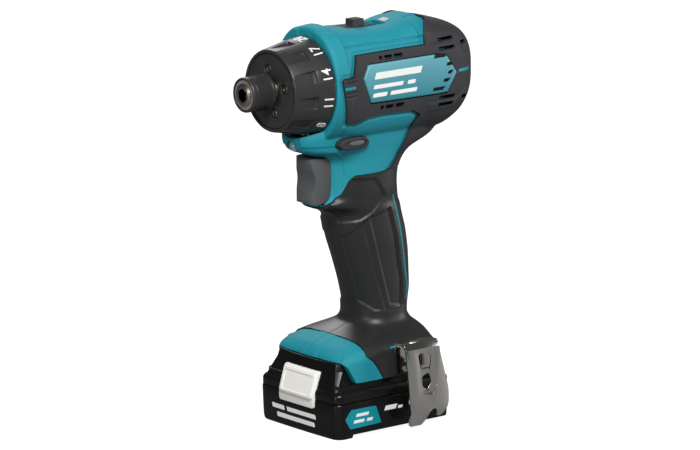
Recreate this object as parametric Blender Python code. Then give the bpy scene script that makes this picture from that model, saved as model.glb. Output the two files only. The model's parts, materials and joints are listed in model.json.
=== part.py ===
"""Cordless hex drill driver with its slide-on battery, as separate pieces at real size.

The drawing is in millimetres and is scaled to metres where a mesh is made. The bit holder
points to -X, +Z is up, and the origin is on the flat base, under the middle of the grip.
"""

import math

import bmesh
import bpy
from mathutils import Matrix, Vector

MM = 0.001
GAP = 0.3  # between pieces that touch
SHELL_FACES = 300

# Overall layout
AXIS_Z = 177.8  # height of the spindle above the base
RING_FRONT = -60.6
RING_LENGTH = 22.8
HEAD_LENGTH = 98.6  # from the torque ring's rear end to the rear of the head
SPLIT_HALF = 0.15  # half the parting gap between the left and right pieces

# Moulded walls
SKIN = 1.6  # thickness of the soft skin and of the rear cover
WALL = 3.4  # from the outside of the housing to its cavity

# Motor and gears, on the spindle axis
MOTOR_RADIUS = 18.3
MOTOR_LENGTH = 48.0
MOTOR_ROOM = 2.8  # between the motor and the cavity wall
MODULE = MOTOR_RADIUS / 18.3  # the ring gear fills a case as wide as the motor
SUN_TEETH, PLANET_TEETH, RING_TEETH = 9, 12, 33
GEAR_WIDTH = 5.8
PLATE_WIDTH = 2.5
PIN_RADIUS = 1.9
SHAFT_RADIUS = 1.6
ROTOR_RADIUS = 12.6
ROTOR_POLES = 5
CAN_LENGTH = 38.0
CAN_WALL = 1.3
COMMUTATOR_RADIUS = 4.5
FAN_RADIUS = 16.6
FAN_BLADES = 9
BRUSH_WIDTH, BRUSH_HEIGHT = 2.2, 6.0

# Bit holder
SPINDLE_RADIUS = 5.85
HEX_ACROSS = 6.45  # bore for a 6.35 mm hexagon bit
HEX_DEPTH = 28.0
SLEEVE_RADIUS = 9.0
SLEEVE_LENGTH = 14.7
BALL_RADIUS = 1.45
CLIP_GROOVE = 5.4  # radius at the bottom of the groove for the wire clip
CLIP_WIRE = 1.0

# Clutch
RING_FRONT_RADIUS = 21.06
RING_REAR_RADIUS = 25.1
RING_INNER = 18.2
TUBE_RADIUS = 13.8  # the gear case's front tube, which the clutch nut runs along
BUSH_RADIUS = 8.3
NUT_TRAVEL = 6.0
NUT_LENGTH = 4.5
CLUTCH_WIRE = 0.75
SCREW_CIRCLE = 11.2
SCREW_RADIUS, SCREW_HEAD = 1.4, 2.3

# Grip and trigger
GRIP_HALF = 16.5
TRIGGER_HALF = 8.2
TRIGGER_TRAVEL = 5.0
LEVER_TRAVEL = 7.0
BUTTON_LONG, BUTTON_TALL, BUTTON_REACH = 9.4, 3.1, 20.6
LENS_RADIUS = 2.9
STEM_LENGTH = 3.0  # of the speed lever's stem, along the travel

# Battery
BATTERY_FRONT = -45.2
BATTERY_LENGTH = 75.2
BATTERY_HALF = 32.2
BATTERY_CORNER = 4.2
TUB_HEIGHT = 18.5
BATTERY_WALL = 2.0
CELL_RADIUS = 9.05
CELL_LENGTH = 64.0
FOOT_HALF = 31.0
FOOT_UNDER = 28.0  # underside of the housing's foot
LATCH_TRAVEL = 2.2
LATCH_HALF = 14.2
LATCH_LOW, LATCH_HIGH = 13.8, 32.6
LATCH_PROUD = 1.5
LATCH_SPRING_Z, LATCH_SPRING_RADIUS, LATCH_WIRE = 27.0, 2.4, 0.3
TERMINAL_Y, BLADE_THICK = 6.0, 1.2

# Belt clip
CLIP_STEEL = 1.2
CLIP_WIDTH = 18.0
CLIP_LOW = -4.0  # x of the front edge at the fold
CLIP_GAP = 7.4

RING_REAR = RING_FRONT + RING_LENGTH
HEAD_REAR = RING_REAR + HEAD_LENGTH
HEAD_HALF = MOTOR_RADIUS + MOTOR_ROOM + WALL
SLEEVE_REAR = RING_FRONT - 2.2
SLEEVE_FRONT = SLEEVE_REAR - SLEEVE_LENGTH
NOSE_FRONT = SLEEVE_FRONT - 0.8
CASE_FACE = RING_REAR + 1.3  # front of the gear case's cup
CASE_RADIUS = MOTOR_RADIUS + 2.2
RING_GEAR_RADIUS = CASE_RADIUS - 2.0
TUBE_FRONT = RING_FRONT + 2.6
FLANGE_X = CASE_FACE + 2.6  # front of the spindle's planet carrier
FRONT_PINS = FLANGE_X + PLATE_WIDTH
FRONT_PLANETS = FRONT_PINS + GAP
CARRIER_X = FRONT_PLANETS + GEAR_WIDTH + 0.6
REAR_PINS = CARRIER_X + PLATE_WIDTH
REAR_PLANETS = REAR_PINS + GAP
RING_GEAR_SPLIT = CARRIER_X
MOTOR_FRONT = REAR_PLANETS + GEAR_WIDTH + 3.6
MOTOR_REAR = MOTOR_FRONT + MOTOR_LENGTH
BALL_X = SLEEVE_REAR - 4.2
CLIP_X = SLEEVE_FRONT + 0.6  # the wire clip that holds the sleeve's spring
NUT_X = TUBE_FRONT + 1.6 + NUT_TRAVEL / 2
ORBIT = MODULE * (SUN_TEETH + PLANET_TEETH) / 2
TRIGGER_TOP, TRIGGER_FLOOR = AXIS_Z - 36.6, AXIS_Z - 60.9
TRIGGER_FACE = -40.2
SWITCH_FRONT, SWITCH_REAR, SWITCH_HALF = -18.0, 5.0, 9.0
TRIGGER_BACK = SWITCH_FRONT - TRIGGER_TRAVEL - 2.5
BUTTON_X, BUTTON_Z = -22.4, AXIS_Z - 28.8
LENS_X, LENS_Z = -46.6, AXIS_Z - 30.2
LEVER_FRONT, LEVER_LENGTH, LEVER_HALF = -15.5, 18.0, 5.5
LEVER_FLOOR = AXIS_Z + 24.6  # of the pocket that the speed lever slides in
STEM_FRONT = LEVER_FRONT + (LEVER_LENGTH - STEM_LENGTH) / 2
STEM_HALF = 2.0
BATTERY_REAR = BATTERY_FRONT + BATTERY_LENGTH
BATTERY_MIDDLE = (BATTERY_FRONT + BATTERY_REAR) / 2
NOSE_BEND, NOSE_SLOPE = 20.0, 0.31
BAY_HALF, BAY_TOP = 20.0, 37.5  # of the battery's tower
LATCH_DEEP = 1.7  # how far the latch button reaches behind the face

# The head, front to rear: (x, depth below the axis, height above it, half width, power)
HEAD = (
    (RING_REAR + 0.6, 29.4, 28.8, HEAD_HALF + 0.6, 2.2),
    (RING_REAR + 2.0, 30.0, 30.0, HEAD_HALF + 1.0, 2.2),
    (RING_REAR + 8.5, 30.4, 30.4, HEAD_HALF + 1.1, 2.3),
    (RING_REAR + 10.4, 30.4, 28.6, HEAD_HALF, 2.6),
    (RING_REAR + 22.0, 31.0, 27.4, HEAD_HALF, 3.0),
    (RING_REAR + 35.0, 31.0, 26.9, HEAD_HALF, 3.0),
    (RING_REAR + 46.0, 31.0, 27.1, HEAD_HALF, 3.0),
    (RING_REAR + 52.0, 30.6, 28.5, HEAD_HALF, 2.9),
    (RING_REAR + 56.0, 30.2, 29.4, HEAD_HALF, 2.8),
    (RING_REAR + 61.0, 29.8, 30.2, HEAD_HALF, 2.8),
    (RING_REAR + 65.0, 29.6, 29.8, HEAD_HALF, 2.9),
    (RING_REAR + 69.0, 29.2, 27.6, HEAD_HALF, 3.0),
    (HEAD_REAR - 24.0, 28.2, 26.4, HEAD_HALF - 0.4, 3.0),
    (HEAD_REAR - 15.5, 24.6, 23.8, HEAD_HALF - 1.8, 3.0),
    (HEAD_REAR - 9.0, 19.8, 20.6, HEAD_HALF - 5.0, 3.0),
    (HEAD_REAR - 4.0, 14.0, 15.2, HEAD_HALF - 10.0, 3.0),
    (HEAD_REAR - 1.0, 8.0, 10.0, HEAD_HALF - 16.0, 3.0),
    (HEAD_REAR, 3.0, 5.0, 3.4, 3.0),
)

# The body under the head: (depth below the axis, front x, rear x, half width, power)
NECK = (
    (16.0, -38.4, 46.0, 20.5, 2.8),
    (25.9, -48.6, 43.5, 18.6, 2.6),
    (31.0, -47.2, 38.5, 18.0, 2.6),
    (33.0, -45.0, 34.6, 17.8, 2.6),
    (35.0, -39.4, 28.4, 17.6, 2.6),
    (36.8, -34.6, 23.4, 17.5, 2.6),
    (40.0, -31.4, 18.8, 17.4, 2.6),
    (46.0, -30.9, 15.0, 17.4, 2.6),
    (53.5, -31.2, 14.2, 17.4, 2.6),
    (57.5, -32.2, 14.9, 17.2, 2.5),
    (61.0, -36.7, 16.0, 16.8, 2.4),
    (63.0, -35.4, 16.3, 16.6, 2.4),
    (65.2, -29.0, 16.8, 16.5, 2.5),
    (68.0, -24.4, 17.2, GRIP_HALF, 2.5),
    (80.8, -21.2, 20.4, GRIP_HALF, 2.5),
)
# The foot of the grip: (height above the base, front x, rear x, half width, power)
FOOT = (
    (83.0, -16.4, 22.0, GRIP_HALF - 0.5, 2.5),
    (70.0, -12.2, 22.1, GRIP_HALF - 0.5, 2.5),
    (60.0, -10.0, 20.6, GRIP_HALF - 0.6, 2.5),
    (55.5, -9.8, 20.2, GRIP_HALF - 0.4, 2.5),
    (52.0, -11.2, 21.8, GRIP_HALF + 1.0, 2.6),
    (49.4, -17.0, 24.6, GRIP_HALF + 4.4, 2.8),
    (47.0, -26.4, 26.4, FOOT_HALF - 6.0, 3.2),
    (43.8, -34.6, 27.0, FOOT_HALF - 2.6, 4.0),
    (38.3, -38.5, 28.0, FOOT_HALF - 0.4, 6.0),
    (FOOT_UNDER, -39.0, 28.6, FOOT_HALF, 7.0),
)

# Side views of the regions, as (x, z above the axis or above the base)
COVER_SIDE = (
    (-34.3, 5.0), (-33.2, 6.2), (-26.0, 6.2), (-23.3, 16.5), (21.2, 16.8), (21.2, 40.0),
    (90.0, 40.0), (90.0, -45.5), (3.8, -45.5), (7.1, -42.9), (11.1, -36.7), (15.4, -26.0),
    (18.0, -18.6), (12.1, -15.4), (-8.1, -14.8), (-17.1, -15.4), (-24.2, -18.1), (-30.0, -17.1),
)
# Above the side band the cover starts further back towards the crest: (x, y)
COVER_NOTCH = ((0.0, -30.0), (21.2, -21.6), (33.0, -8.0), (33.0, 8.0), (21.2, 21.6), (0.0, 30.0))
GRIP_TOP_SIDE = (
    (80.0, -45.8), (3.6, -45.8), (-4.6, -46.5), (-19.4, -46.6), (-22.4, -48.9),
    (-25.6, -55.2), (-29.6, -59.6), (-35.8, -62.4), (-60.0, -62.4),
)
GRIP_FOOT_SIDE = (
    (-60.0, 50.0), (-25.0, 50.0), (-23.4, 46.0), (-23.4, 40.6), (-19.6, 37.7),
    (-15.7, 31.9), (-12.7, FOOT_UNDER - 1.0), (80.0, FOOT_UNDER - 1.0),
)
LABEL_SIDE = (
    (-17.0, 11.3), (-20.4, 4.6), (-15.8, -8.2), (27.9, -8.8), (33.9, -8.6), (40.0, 0.9),
    (33.3, 10.4), (26.7, 11.5),
)
# The battery's nose: (height, then on each side the face's edge as half width and distance back,
# the side's edge likewise, and the rear x)
NOSE = (
    (19.2, 28.6, 1.0, 29.6, 2.0, -30.6),
    (24.5, 27.6, 0.9, 28.6, 1.8, -30.6),
    (34.0, 23.6, 1.9, 26.2, 4.6, -33.8),
    (37.9, 22.6, 1.9, 24.6, 2.9, -36.5),
)
# The gap between the foot's front cap and the battery's nose
NOSE_SIDE = (
    (-70.0, 38.3), (-36.5, 38.3), (-34.4, 36.2), (-30.2, 27.0), (-30.2, 10.0), (-70.0, 10.0),
)


# Shapes

def finish(name, colour, roughness, metallic=0.0):
    material = bpy.data.materials.new(name)
    material.use_nodes = True
    shader = material.node_tree.nodes["Principled BSDF"]
    shader.inputs["Base Color"].default_value = (*colour, 1.0)
    shader.inputs["Roughness"].default_value = roughness
    shader.inputs["Metallic"].default_value = metallic
    material.diffuse_color = (*colour, 1.0)
    return material


def solid(name, points, faces):
    """An object from points in millimetres, with its faces turned outwards."""
    mesh = bpy.data.meshes.new(name)
    mesh.from_pydata([Vector(point) * MM for point in points], [], faces)
    shape = bmesh.new()
    shape.from_mesh(mesh)
    bmesh.ops.triangulate(shape, faces=shape.faces)
    bmesh.ops.recalc_face_normals(shape, faces=shape.faces)
    if shape.calc_volume(signed=True) < 0:
        bmesh.ops.reverse_faces(shape, faces=shape.faces)
    shape.to_mesh(mesh)
    shape.free()
    item = bpy.data.objects.new(name, mesh)
    bpy.context.scene.collection.objects.link(item)
    return item


def loft(name, rings):
    """A closed solid through rings of the same number of points."""
    count = len(rings[0])
    points = [point for ring in rings for point in ring]
    faces = [
        (row * count + i, row * count + (i + 1) % count,
         (row + 1) * count + (i + 1) % count, (row + 1) * count + i)
        for row in range(len(rings) - 1) for i in range(count)
    ]
    faces.append(tuple(range(count)))
    faces.append(tuple(range(len(points) - count, len(points))))
    return solid(name, points, faces)


def prism(name, outline, axis, low, high):
    """An outline drawn across one axis, extruded along it from low to high."""
    places = {
        "X": lambda a, b, t: (t, a, b),
        "Y": lambda a, b, t: (a, t, b),
        "Z": lambda a, b, t: (a, b, t),
    }
    place = places[axis]
    return loft(name, [[place(a, b, t) for a, b in outline] for t in (low, high)])


def box(name, low, high):
    outline = ((low[0], low[1]), (high[0], low[1]), (high[0], high[1]), (low[0], high[1]))
    return prism(name, outline, "Z", low[2], high[2])


def circle(radius, count, across=0.0, up=0.0, turn=0.0):
    steps = (turn + math.tau * i / count for i in range(count))
    return [(across + radius * math.cos(a), up + radius * math.sin(a)) for a in steps]


def rounded_box(half_x, half_y, radius, middle_x=0.0, steps=3):
    """A rectangle with round corners, in the XY plane."""
    points = []
    for quarter, (sx, sy) in enumerate(((1, 1), (-1, 1), (-1, -1), (1, -1))):
        for i in range(steps + 1):
            a = (quarter + i / steps) * math.pi / 2
            points.append((middle_x + sx * (half_x - radius) + radius * math.cos(a),
                           sy * (half_y - radius) + radius * math.sin(a)))
    return points


def rod(name, low, high, radius, count=16, across=0.0, up=AXIS_Z, axis="X"):
    return prism(name, circle(radius, count, across, up), axis, low, high)


def turned(name, profile, count=32):
    """A profile of (x, radius) points turned about the spindle axis. It may end on the axis."""
    points, rows = [], []
    for x, radius in profile:
        if radius == 0:
            rows.append([len(points)] * count)
            points.append((x, 0.0, AXIS_Z))
            continue
        rows.append(list(range(len(points), len(points) + count)))
        points += [(x, y, z) for y, z in circle(radius, count, 0.0, AXIS_Z)]
    closed = profile[0][1] > 0
    faces = []
    for i in range(len(rows) if closed else len(rows) - 1):
        first, second = rows[i], rows[(i + 1) % len(rows)]
        for k in range(count):
            corners = (first[k], first[(k + 1) % count], second[(k + 1) % count], second[k])
            faces.append(tuple(dict.fromkeys(corners)))
    return solid(name, points, faces)


def tube(name, low, high, inner, outer, count=32):
    return turned(name, ((low, inner), (low, outer), (high, outer), (high, inner)), count)


def combine(target, operation, *others):
    """Joins, cuts or trims the target with the others, which are used up."""
    for other in others:
        modifier = target.modifiers.new(operation, "BOOLEAN")
        modifier.operation = operation
        # On the big moulded shells the exact solver leaves open edges, so they use the other one.
        modifier.solver = "MANIFOLD" if len(target.data.polygons) > SHELL_FACES else "EXACT"
        modifier.object = other
        bpy.context.view_layer.update()
        graph = bpy.context.evaluated_depsgraph_get()
        made = bpy.data.meshes.new_from_object(target.evaluated_get(graph))
        target.modifiers.clear()
        shape = bmesh.new()
        shape.from_mesh(made)
        bmesh.ops.triangulate(shape, faces=shape.faces)
        shape.to_mesh(made)
        shape.free()
        target.data = made
        bpy.data.objects.remove(other)
    return target


def join(target, *others):
    return combine(target, "UNION", *others)


def cut(target, *others):
    return combine(target, "DIFFERENCE", *others)


def trim(target, *others):
    return combine(target, "INTERSECT", *others)


def copied(item, name):
    twin = bpy.data.objects.new(name, item.data.copy())
    bpy.context.scene.collection.objects.link(twin)
    return twin


def half(item, name, side):
    """The part of a copy that lies on one side, -1 for left, 1 for right."""
    near, far = sorted((side * SPLIT_HALF, side * 200.0))
    return trim(copied(item, name), box("side", (-150.0, near, -50.0), (150.0, far, 300.0)))


def dress(item, material, smooth=30.0, origin=None):
    """Gives a piece its material, soft shading and an origin on its joint's axis."""
    item.data.materials.clear()
    item.data.materials.append(material)
    item.data.shade_smooth()
    item.data.set_sharp_from_angle(angle=math.radians(smooth))
    if origin is not None:
        item.data.transform(Matrix.Translation(-Vector(origin) * MM))
        item.location = Vector(origin) * MM
    return item


def superellipse(half_a, half_b, power, count):
    points = []
    for i in range(count):
        a = math.tau * i / count
        c, s = math.cos(a), math.sin(a)
        points.append((half_a * math.copysign(abs(c) ** (2 / power), c),
                       half_b * math.copysign(abs(s) ** (2 / power), s)))
    return points


def helix(name, low, high, radius, wire, turns, steps, sides, up=AXIS_Z, lean=0.0):
    """A coil spring along X. Its turns lean back by a slope, where what it bears on does."""
    rings = []
    total = int(turns * steps)
    for i in range(total + 1):
        a = math.tau * i / steps
        x = low + wire + (high - low - 2 * wire) * i / total
        ring = []
        for y, z in circle(wire, sides):
            reach = radius + y
            rise = reach * math.sin(a)
            ring.append((x + z + lean * rise, reach * math.cos(a), up + rise))
        rings.append(ring)
    return loft(name, rings)


# Moulded shells

def head(grow):
    rings = []
    for x, below, above, wide, power in HEAD:
        reach = max(wide + grow, 0.6)
        middle = AXIS_Z + (above - below) / 2
        tall = max((above + below) / 2 + grow, 0.6)
        x = x + grow if x > 0 else x
        rings.append([(x, y, middle + z) for y, z in superellipse(reach, tall, power, 24)])
    return loft("head", rings)


def body(grow):
    rings = []
    rows = [(AXIS_Z - drop, *rest) for drop, *rest in NECK] + list(FOOT)
    for z, front, rear, wide, power in rows:
        if z == rows[-1][0] and grow < 0:
            z = z - 2.0  # so that the cavity opens the foot's underside
        middle, long = (front + rear) / 2, (rear - front) / 2 + grow
        outline = superellipse(long, wide + grow, power, 20)
        rings.append([(middle + x, y, z) for x, y in outline])
    return loft("body", rings)


def shell(grow):
    return join(head(grow), body(grow))


def grown(outline, grow):
    """An outline with its points moved out by grow."""
    points = [Vector(point) for point in outline]
    count = len(points)
    area = sum(points[i].cross(points[(i + 1) % count]) for i in range(count))
    turn = grow if area > 0 else -grow
    moved = []
    for i, point in enumerate(points):
        before = (point - points[i - 1]).normalized()
        after = (points[(i + 1) % count] - point).normalized()
        bisector = Vector((before.y + after.y, -before.x - after.x)).normalized()
        moved.append(point + bisector * turn / max(bisector.dot(Vector((before.y, -before.x))), 0.35))
    return [tuple(point) for point in moved]


def region(outline, above=AXIS_Z, grow=0.0):
    """A side view extruded across the whole width, its points moved out by grow."""
    raised = [(x, z + above) for x, z in outline]
    return prism("region", grown(raised, grow), "Y", -90.0, 90.0)


def cover_region(grow):
    notch = prism("notch", grown(COVER_NOTCH, -grow), "Z", AXIS_Z + 16.8 + grow, AXIS_Z + 90.0)
    return cut(region(COVER_SIDE, AXIS_Z, grow), notch)


def grip_region(grow):
    upper = [(x, z + AXIS_Z) for x, z in GRIP_TOP_SIDE]
    return region(upper + list(GRIP_FOOT_SIDE), 0.0, grow)


def button_outline(grow):
    oval = superellipse(BUTTON_LONG + grow, BUTTON_TALL + grow, 2.6, 16)
    return [(BUTTON_X + x, BUTTON_Z + z) for x, z in oval]


def openings_in_housing():
    """Everything that the two housing halves are cut by, apart from their cavity."""
    low = LEVER_FRONT - GAP
    high = LEVER_FRONT + LEVER_LENGTH + LEVER_TRAVEL + GAP
    stem_end = STEM_FRONT + STEM_LENGTH + LEVER_TRAVEL + GAP
    return [
        rod("mouth", RING_REAR - 8.0, RING_REAR + 30.0, CASE_RADIUS + GAP, 36),
        rod("ring_room", RING_FRONT, RING_REAR + GAP, RING_REAR_RADIUS + 0.5, 36),
        box("trigger_slot", (-60.0, -TRIGGER_HALF - GAP, TRIGGER_FLOOR - GAP),
            (-20.0, TRIGGER_HALF + GAP, TRIGGER_TOP + GAP)),
        prism("direction_slot", button_outline(GAP), "Y", -60.0, 60.0),
        rod("lens_hole", -70.0, -38.0, LENS_RADIUS + GAP, 12, 0.0, LENS_Z),
        box("lever_pocket", (low, -LEVER_HALF - GAP, LEVER_FLOOR),
            (high, LEVER_HALF + GAP, AXIS_Z + 60.0)),
        box("stem_slot", (STEM_FRONT - GAP, -STEM_HALF - GAP, AXIS_Z + 18.0),
            (stem_end, STEM_HALF + GAP, LEVER_FLOOR + 1.0)),
        prism("battery_nose", NOSE_SIDE, "Y", -60.0, 60.0),
        box("battery_bay", (-70.0, -BAY_HALF - 0.8, 20.0),
            (BATTERY_REAR - 5.4, BAY_HALF + 0.8, BAY_TOP + 0.5)),
    ]


def make_housing(teal, black, soft, label):
    outer = shell(0.0)
    cavity = shell(-WALL)
    recess = shell(-SKIN - GAP)
    plate_outline = [(x, z + AXIS_Z) for x, z in LABEL_SIDE]
    for side, word in ((-1, "left"), (1, "right")):
        piece = half(outer, "housing_" + word, side)
        for around in (cover_region(GAP), grip_region(GAP)):
            piece = cut(piece, cut(around, copied(recess, "inside")))
        faces = sorted((side * (HEAD_HALF - 1.9), side * 60))
        plate = prism("plate", plate_outline, "Y", *faces)
        piece = cut(piece, plate, copied(cavity, "hollow"), *openings_in_housing())
        dress(piece, teal)
    cover = cut(trim(shell(0.9), cover_region(0.0)), shell(-SKIN))
    mask = box("mask", (-80.0, -HEAD_HALF + 2.2, 100.0), (80.0, HEAD_HALF - 2.2, 250.0))
    cover = cut(cover, cut(region(LABEL_SIDE, AXIS_Z, 0.6), mask))
    grip = cut(trim(shell(0.6), grip_region(0.0)), shell(-SKIN))
    grip = cut(grip, *openings_in_housing())
    for skin, name, material in ((cover, "rear_cover_", black), (grip, "grip_", soft)):
        dress(half(skin, name + "left", -1), material)
        dress(half(skin, name + "right", 1), material)
    for side, word in ((-1, "left"), (1, "right")):
        faces = sorted((side * (HEAD_HALF - 1.5), side * (HEAD_HALF + 1.3)))
        dress(prism("label_panel_" + word, plate_outline, "Y", *faces), label)
    for item in (outer, cavity, recess, cover, grip):
        bpy.data.objects.remove(item)


# Gears

def toothed(name, teeth, low, high, turn, inward=False, clearance=0.14):
    """A gear along X, with its teeth inwards on a ring gear. The turn is a tooth's middle."""
    pitch_radius = MODULE * teeth / 2
    sign = -1 if inward else 1
    tip = pitch_radius + sign * 0.8 * MODULE
    root = pitch_radius - sign * 1.1 * MODULE
    pitch = math.tau / teeth
    root_share, tip_share = (0.33, 0.15) if inward else (0.36, 0.14)
    shares = ((root, root_share), (tip, tip_share), (tip, -tip_share), (root, -root_share))
    outline = []
    for i in range(teeth):
        middle = turn + i * pitch
        for radius, share in reversed(shares):
            a = middle + (share - math.copysign(clearance * 0.3, share)) * pitch
            outline.append((radius * math.cos(a), AXIS_Z + radius * math.sin(a)))
    return prism(name, outline, "X", low, high)


def planet_turn(place):
    """Where a planet's tooth points, so that it meshes with a sun whose tooth points at zero."""
    offset = (-place) * SUN_TEETH / math.tau
    return place + math.pi - offset * math.tau / PLANET_TEETH + math.pi / PLANET_TEETH


def ring_turn():
    """Where a ring gear's tooth points, so that it meshes with the first planet, at angle zero."""
    offset = planet_turn(0.0) * PLANET_TEETH / math.tau
    return (offset + 0.5) * math.tau / RING_TEETH


def planet_places():
    return [math.tau * i / 3 for i in range(3)]


def make_planets(name, low, material):
    for index, place in enumerate(planet_places(), 1):
        y, z = ORBIT * math.cos(place), ORBIT * math.sin(place)
        gear = toothed(name + str(index), PLANET_TEETH, low, low + GEAR_WIDTH, planet_turn(place))
        gear.data.transform(Matrix.Translation(Vector((0.0, y, z)) * MM))
        bore = rod("bore", low - 1.0, low + GEAR_WIDTH + 1.0, PIN_RADIUS + GAP, 10, y, AXIS_Z + z)
        dress(cut(gear, bore), material, 20.0, (low, y, AXIS_Z + z))


def pins(low, high):
    return [
        rod("pin", low, high, PIN_RADIUS, 10, ORBIT * math.cos(a), AXIS_Z + ORBIT * math.sin(a))
        for a in planet_places()
    ]


def ring_gear(name, low, high, material):
    """A ring with inner teeth: a disc cut by the space that its teeth leave."""
    disc = rod(name, low, high, RING_GEAR_RADIUS, 40)
    space = toothed("space", RING_TEETH, low - 1.0, high + 1.0, ring_turn(), inward=True)
    return dress(cut(disc, space), material, 20.0)


def make_gears(steel, bright):
    ring_gear("ring_gear_front", FLANGE_X, RING_GEAR_SPLIT - SPLIT_HALF, steel)
    ring_gear("ring_gear_rear", RING_GEAR_SPLIT + SPLIT_HALF, MOTOR_FRONT - 1.8, steel)
    make_planets("front_planet_", FRONT_PLANETS, bright)
    make_planets("rear_planet_", REAR_PLANETS, bright)
    plate_radius = ORBIT + PIN_RADIUS + 0.9
    sun = toothed("sun", SUN_TEETH, CARRIER_X - GEAR_WIDTH - 0.1, CARRIER_X + 0.6, 0.0)
    carrier = rod("carrier", CARRIER_X, REAR_PINS, plate_radius, 28)
    carrier = join(carrier, sun, *pins(REAR_PINS - 0.6, REAR_PLANETS + GEAR_WIDTH - GAP))
    dress(carrier, steel, 20.0, (CARRIER_X, 0.0, AXIS_Z))
    pinion = toothed("pinion", SUN_TEETH, REAR_PLANETS + 0.2, MOTOR_FRONT - 0.8, 0.0)
    pinion = cut(pinion, rod("bore", REAR_PLANETS - 1.0, MOTOR_FRONT + 1.0, SHAFT_RADIUS + GAP, 12))
    dress(pinion, bright, 20.0, (REAR_PLANETS, 0.0, AXIS_Z))


# Motor

def arc_plate(name, inner, outer, middle, spread, low, high, steps=10):
    angles = [middle - spread + 2 * spread * i / steps for i in range(steps + 1)]
    outline = [(outer * math.cos(a), AXIS_Z + outer * math.sin(a)) for a in angles]
    outline += [(inner * math.cos(a), AXIS_Z + inner * math.sin(a)) for a in reversed(angles)]
    return prism(name, outline, "X", low, high)


def make_motor(steel, bright, copper, black):
    rear = MOTOR_FRONT + CAN_LENGTH
    neck, inside = SHAFT_RADIUS + 1.6, MOTOR_RADIUS - CAN_WALL
    can = turned("motor_can", (
        (MOTOR_FRONT, neck), (MOTOR_FRONT, MOTOR_RADIUS - 0.8), (MOTOR_FRONT + 0.8, MOTOR_RADIUS),
        (rear, MOTOR_RADIUS), (rear, inside), (MOTOR_FRONT + 1.6, inside),
        (MOTOR_FRONT + 1.6, neck)), 32)
    dress(can, steel)
    for index, middle in enumerate((math.pi / 2, -math.pi / 2), 1):
        plate = arc_plate(f"magnet_{index}", ROTOR_RADIUS + 0.7, inside - GAP, middle,
                          math.radians(62), MOTOR_FRONT + 4.0, rear - 4.0)
        dress(plate, black)

    slot, lip = 5.2, ROTOR_RADIUS - 2.0  # radii at the bottom of a winding slot and at its lip
    pole = [(slot, -0.47), (lip, -0.45)]
    pole += [(ROTOR_RADIUS, share) for share in (-0.42, -0.21, 0.0, 0.21, 0.42)]
    pole += [(lip, 0.45), (slot, 0.47)]
    outline = []
    for i in range(ROTOR_POLES):
        for radius, share in pole:
            a = (i + share) * math.tau / ROTOR_POLES
            outline.append((radius * math.cos(a), AXIS_Z + radius * math.sin(a)))
    rotor = prism("rotor", outline, "X", MOTOR_FRONT + 6.0, rear - 7.0)
    shaft = rod("shaft", REAR_PLANETS + 0.8, MOTOR_REAR + 7.0, SHAFT_RADIUS, 14)
    commutator = rod("commutator", rear - 6.0, rear + 3.6, COMMUTATOR_RADIUS, 20)
    rotor = join(rotor, shaft, commutator, rod("sleeve", rear - 8.0, rear - 5.0, 3.4, 14))
    dress(rotor, copper, 20.0, (MOTOR_FRONT, 0.0, AXIS_Z))

    cap = turned("motor_end_cap", (
        (rear + 0.3, COMMUTATOR_RADIUS + GAP), (rear + 0.3, MOTOR_RADIUS), (rear + 4.6, MOTOR_RADIUS),
        (rear + 4.6, 8.0), (rear + 8.8, 8.0), (rear + 8.8, 5.5), (rear + 4.7, 5.5),
        (rear + 4.2, COMMUTATOR_RADIUS + GAP)), 28)
    cutters = []
    front, end = rear + 1.2, rear + 1.2 + BRUSH_WIDTH
    low, high = AXIS_Z - BRUSH_HEIGHT / 2, AXIS_Z + BRUSH_HEIGHT / 2
    for index, side in enumerate((-1, 1), 1):
        inner, outer = sorted((side * (COMMUTATOR_RADIUS + GAP), side * 12.0))
        near, far = sorted((side * 4.0, side * (12.0 + GAP)))
        cutters.append(box("slot", (front - GAP, near, low - GAP), (end + GAP, far, high + GAP)))
        dress(box(f"brush_{index}", (front, inner, low), (end, outer, high)), black)
    dress(cut(cap, *cutters), black)
    dress(tube("motor_bearing", rear + 5.0, rear + 8.8, SHAFT_RADIUS + GAP, 5.2, 24), bright)

    low = rear + 9.6
    fan = rod("fan", low, low + 1.4, FAN_RADIUS, 30)
    fan = join(fan, rod("hub", low + 1.0, low + 6.2, 4.4, 16))
    blades = []
    for i in range(FAN_BLADES):
        blade = box("blade", (low + 1.0, 4.0, -0.6), (low + 6.2, FAN_RADIUS - 0.6, 0.6))
        turn = Matrix.Rotation(math.tau * i / FAN_BLADES, 4, "X")
        blade.data.transform(Matrix.Translation((0.0, 0.0, AXIS_Z * MM)) @ turn)
        blades.append(blade)
    fan = join(fan, *blades)
    fan = cut(fan, rod("bore", low - 1.0, low + 8.0, SHAFT_RADIUS + GAP, 14))
    dress(fan, black, 20.0, (low, 0.0, AXIS_Z))


# Clutch and bit holder

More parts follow.
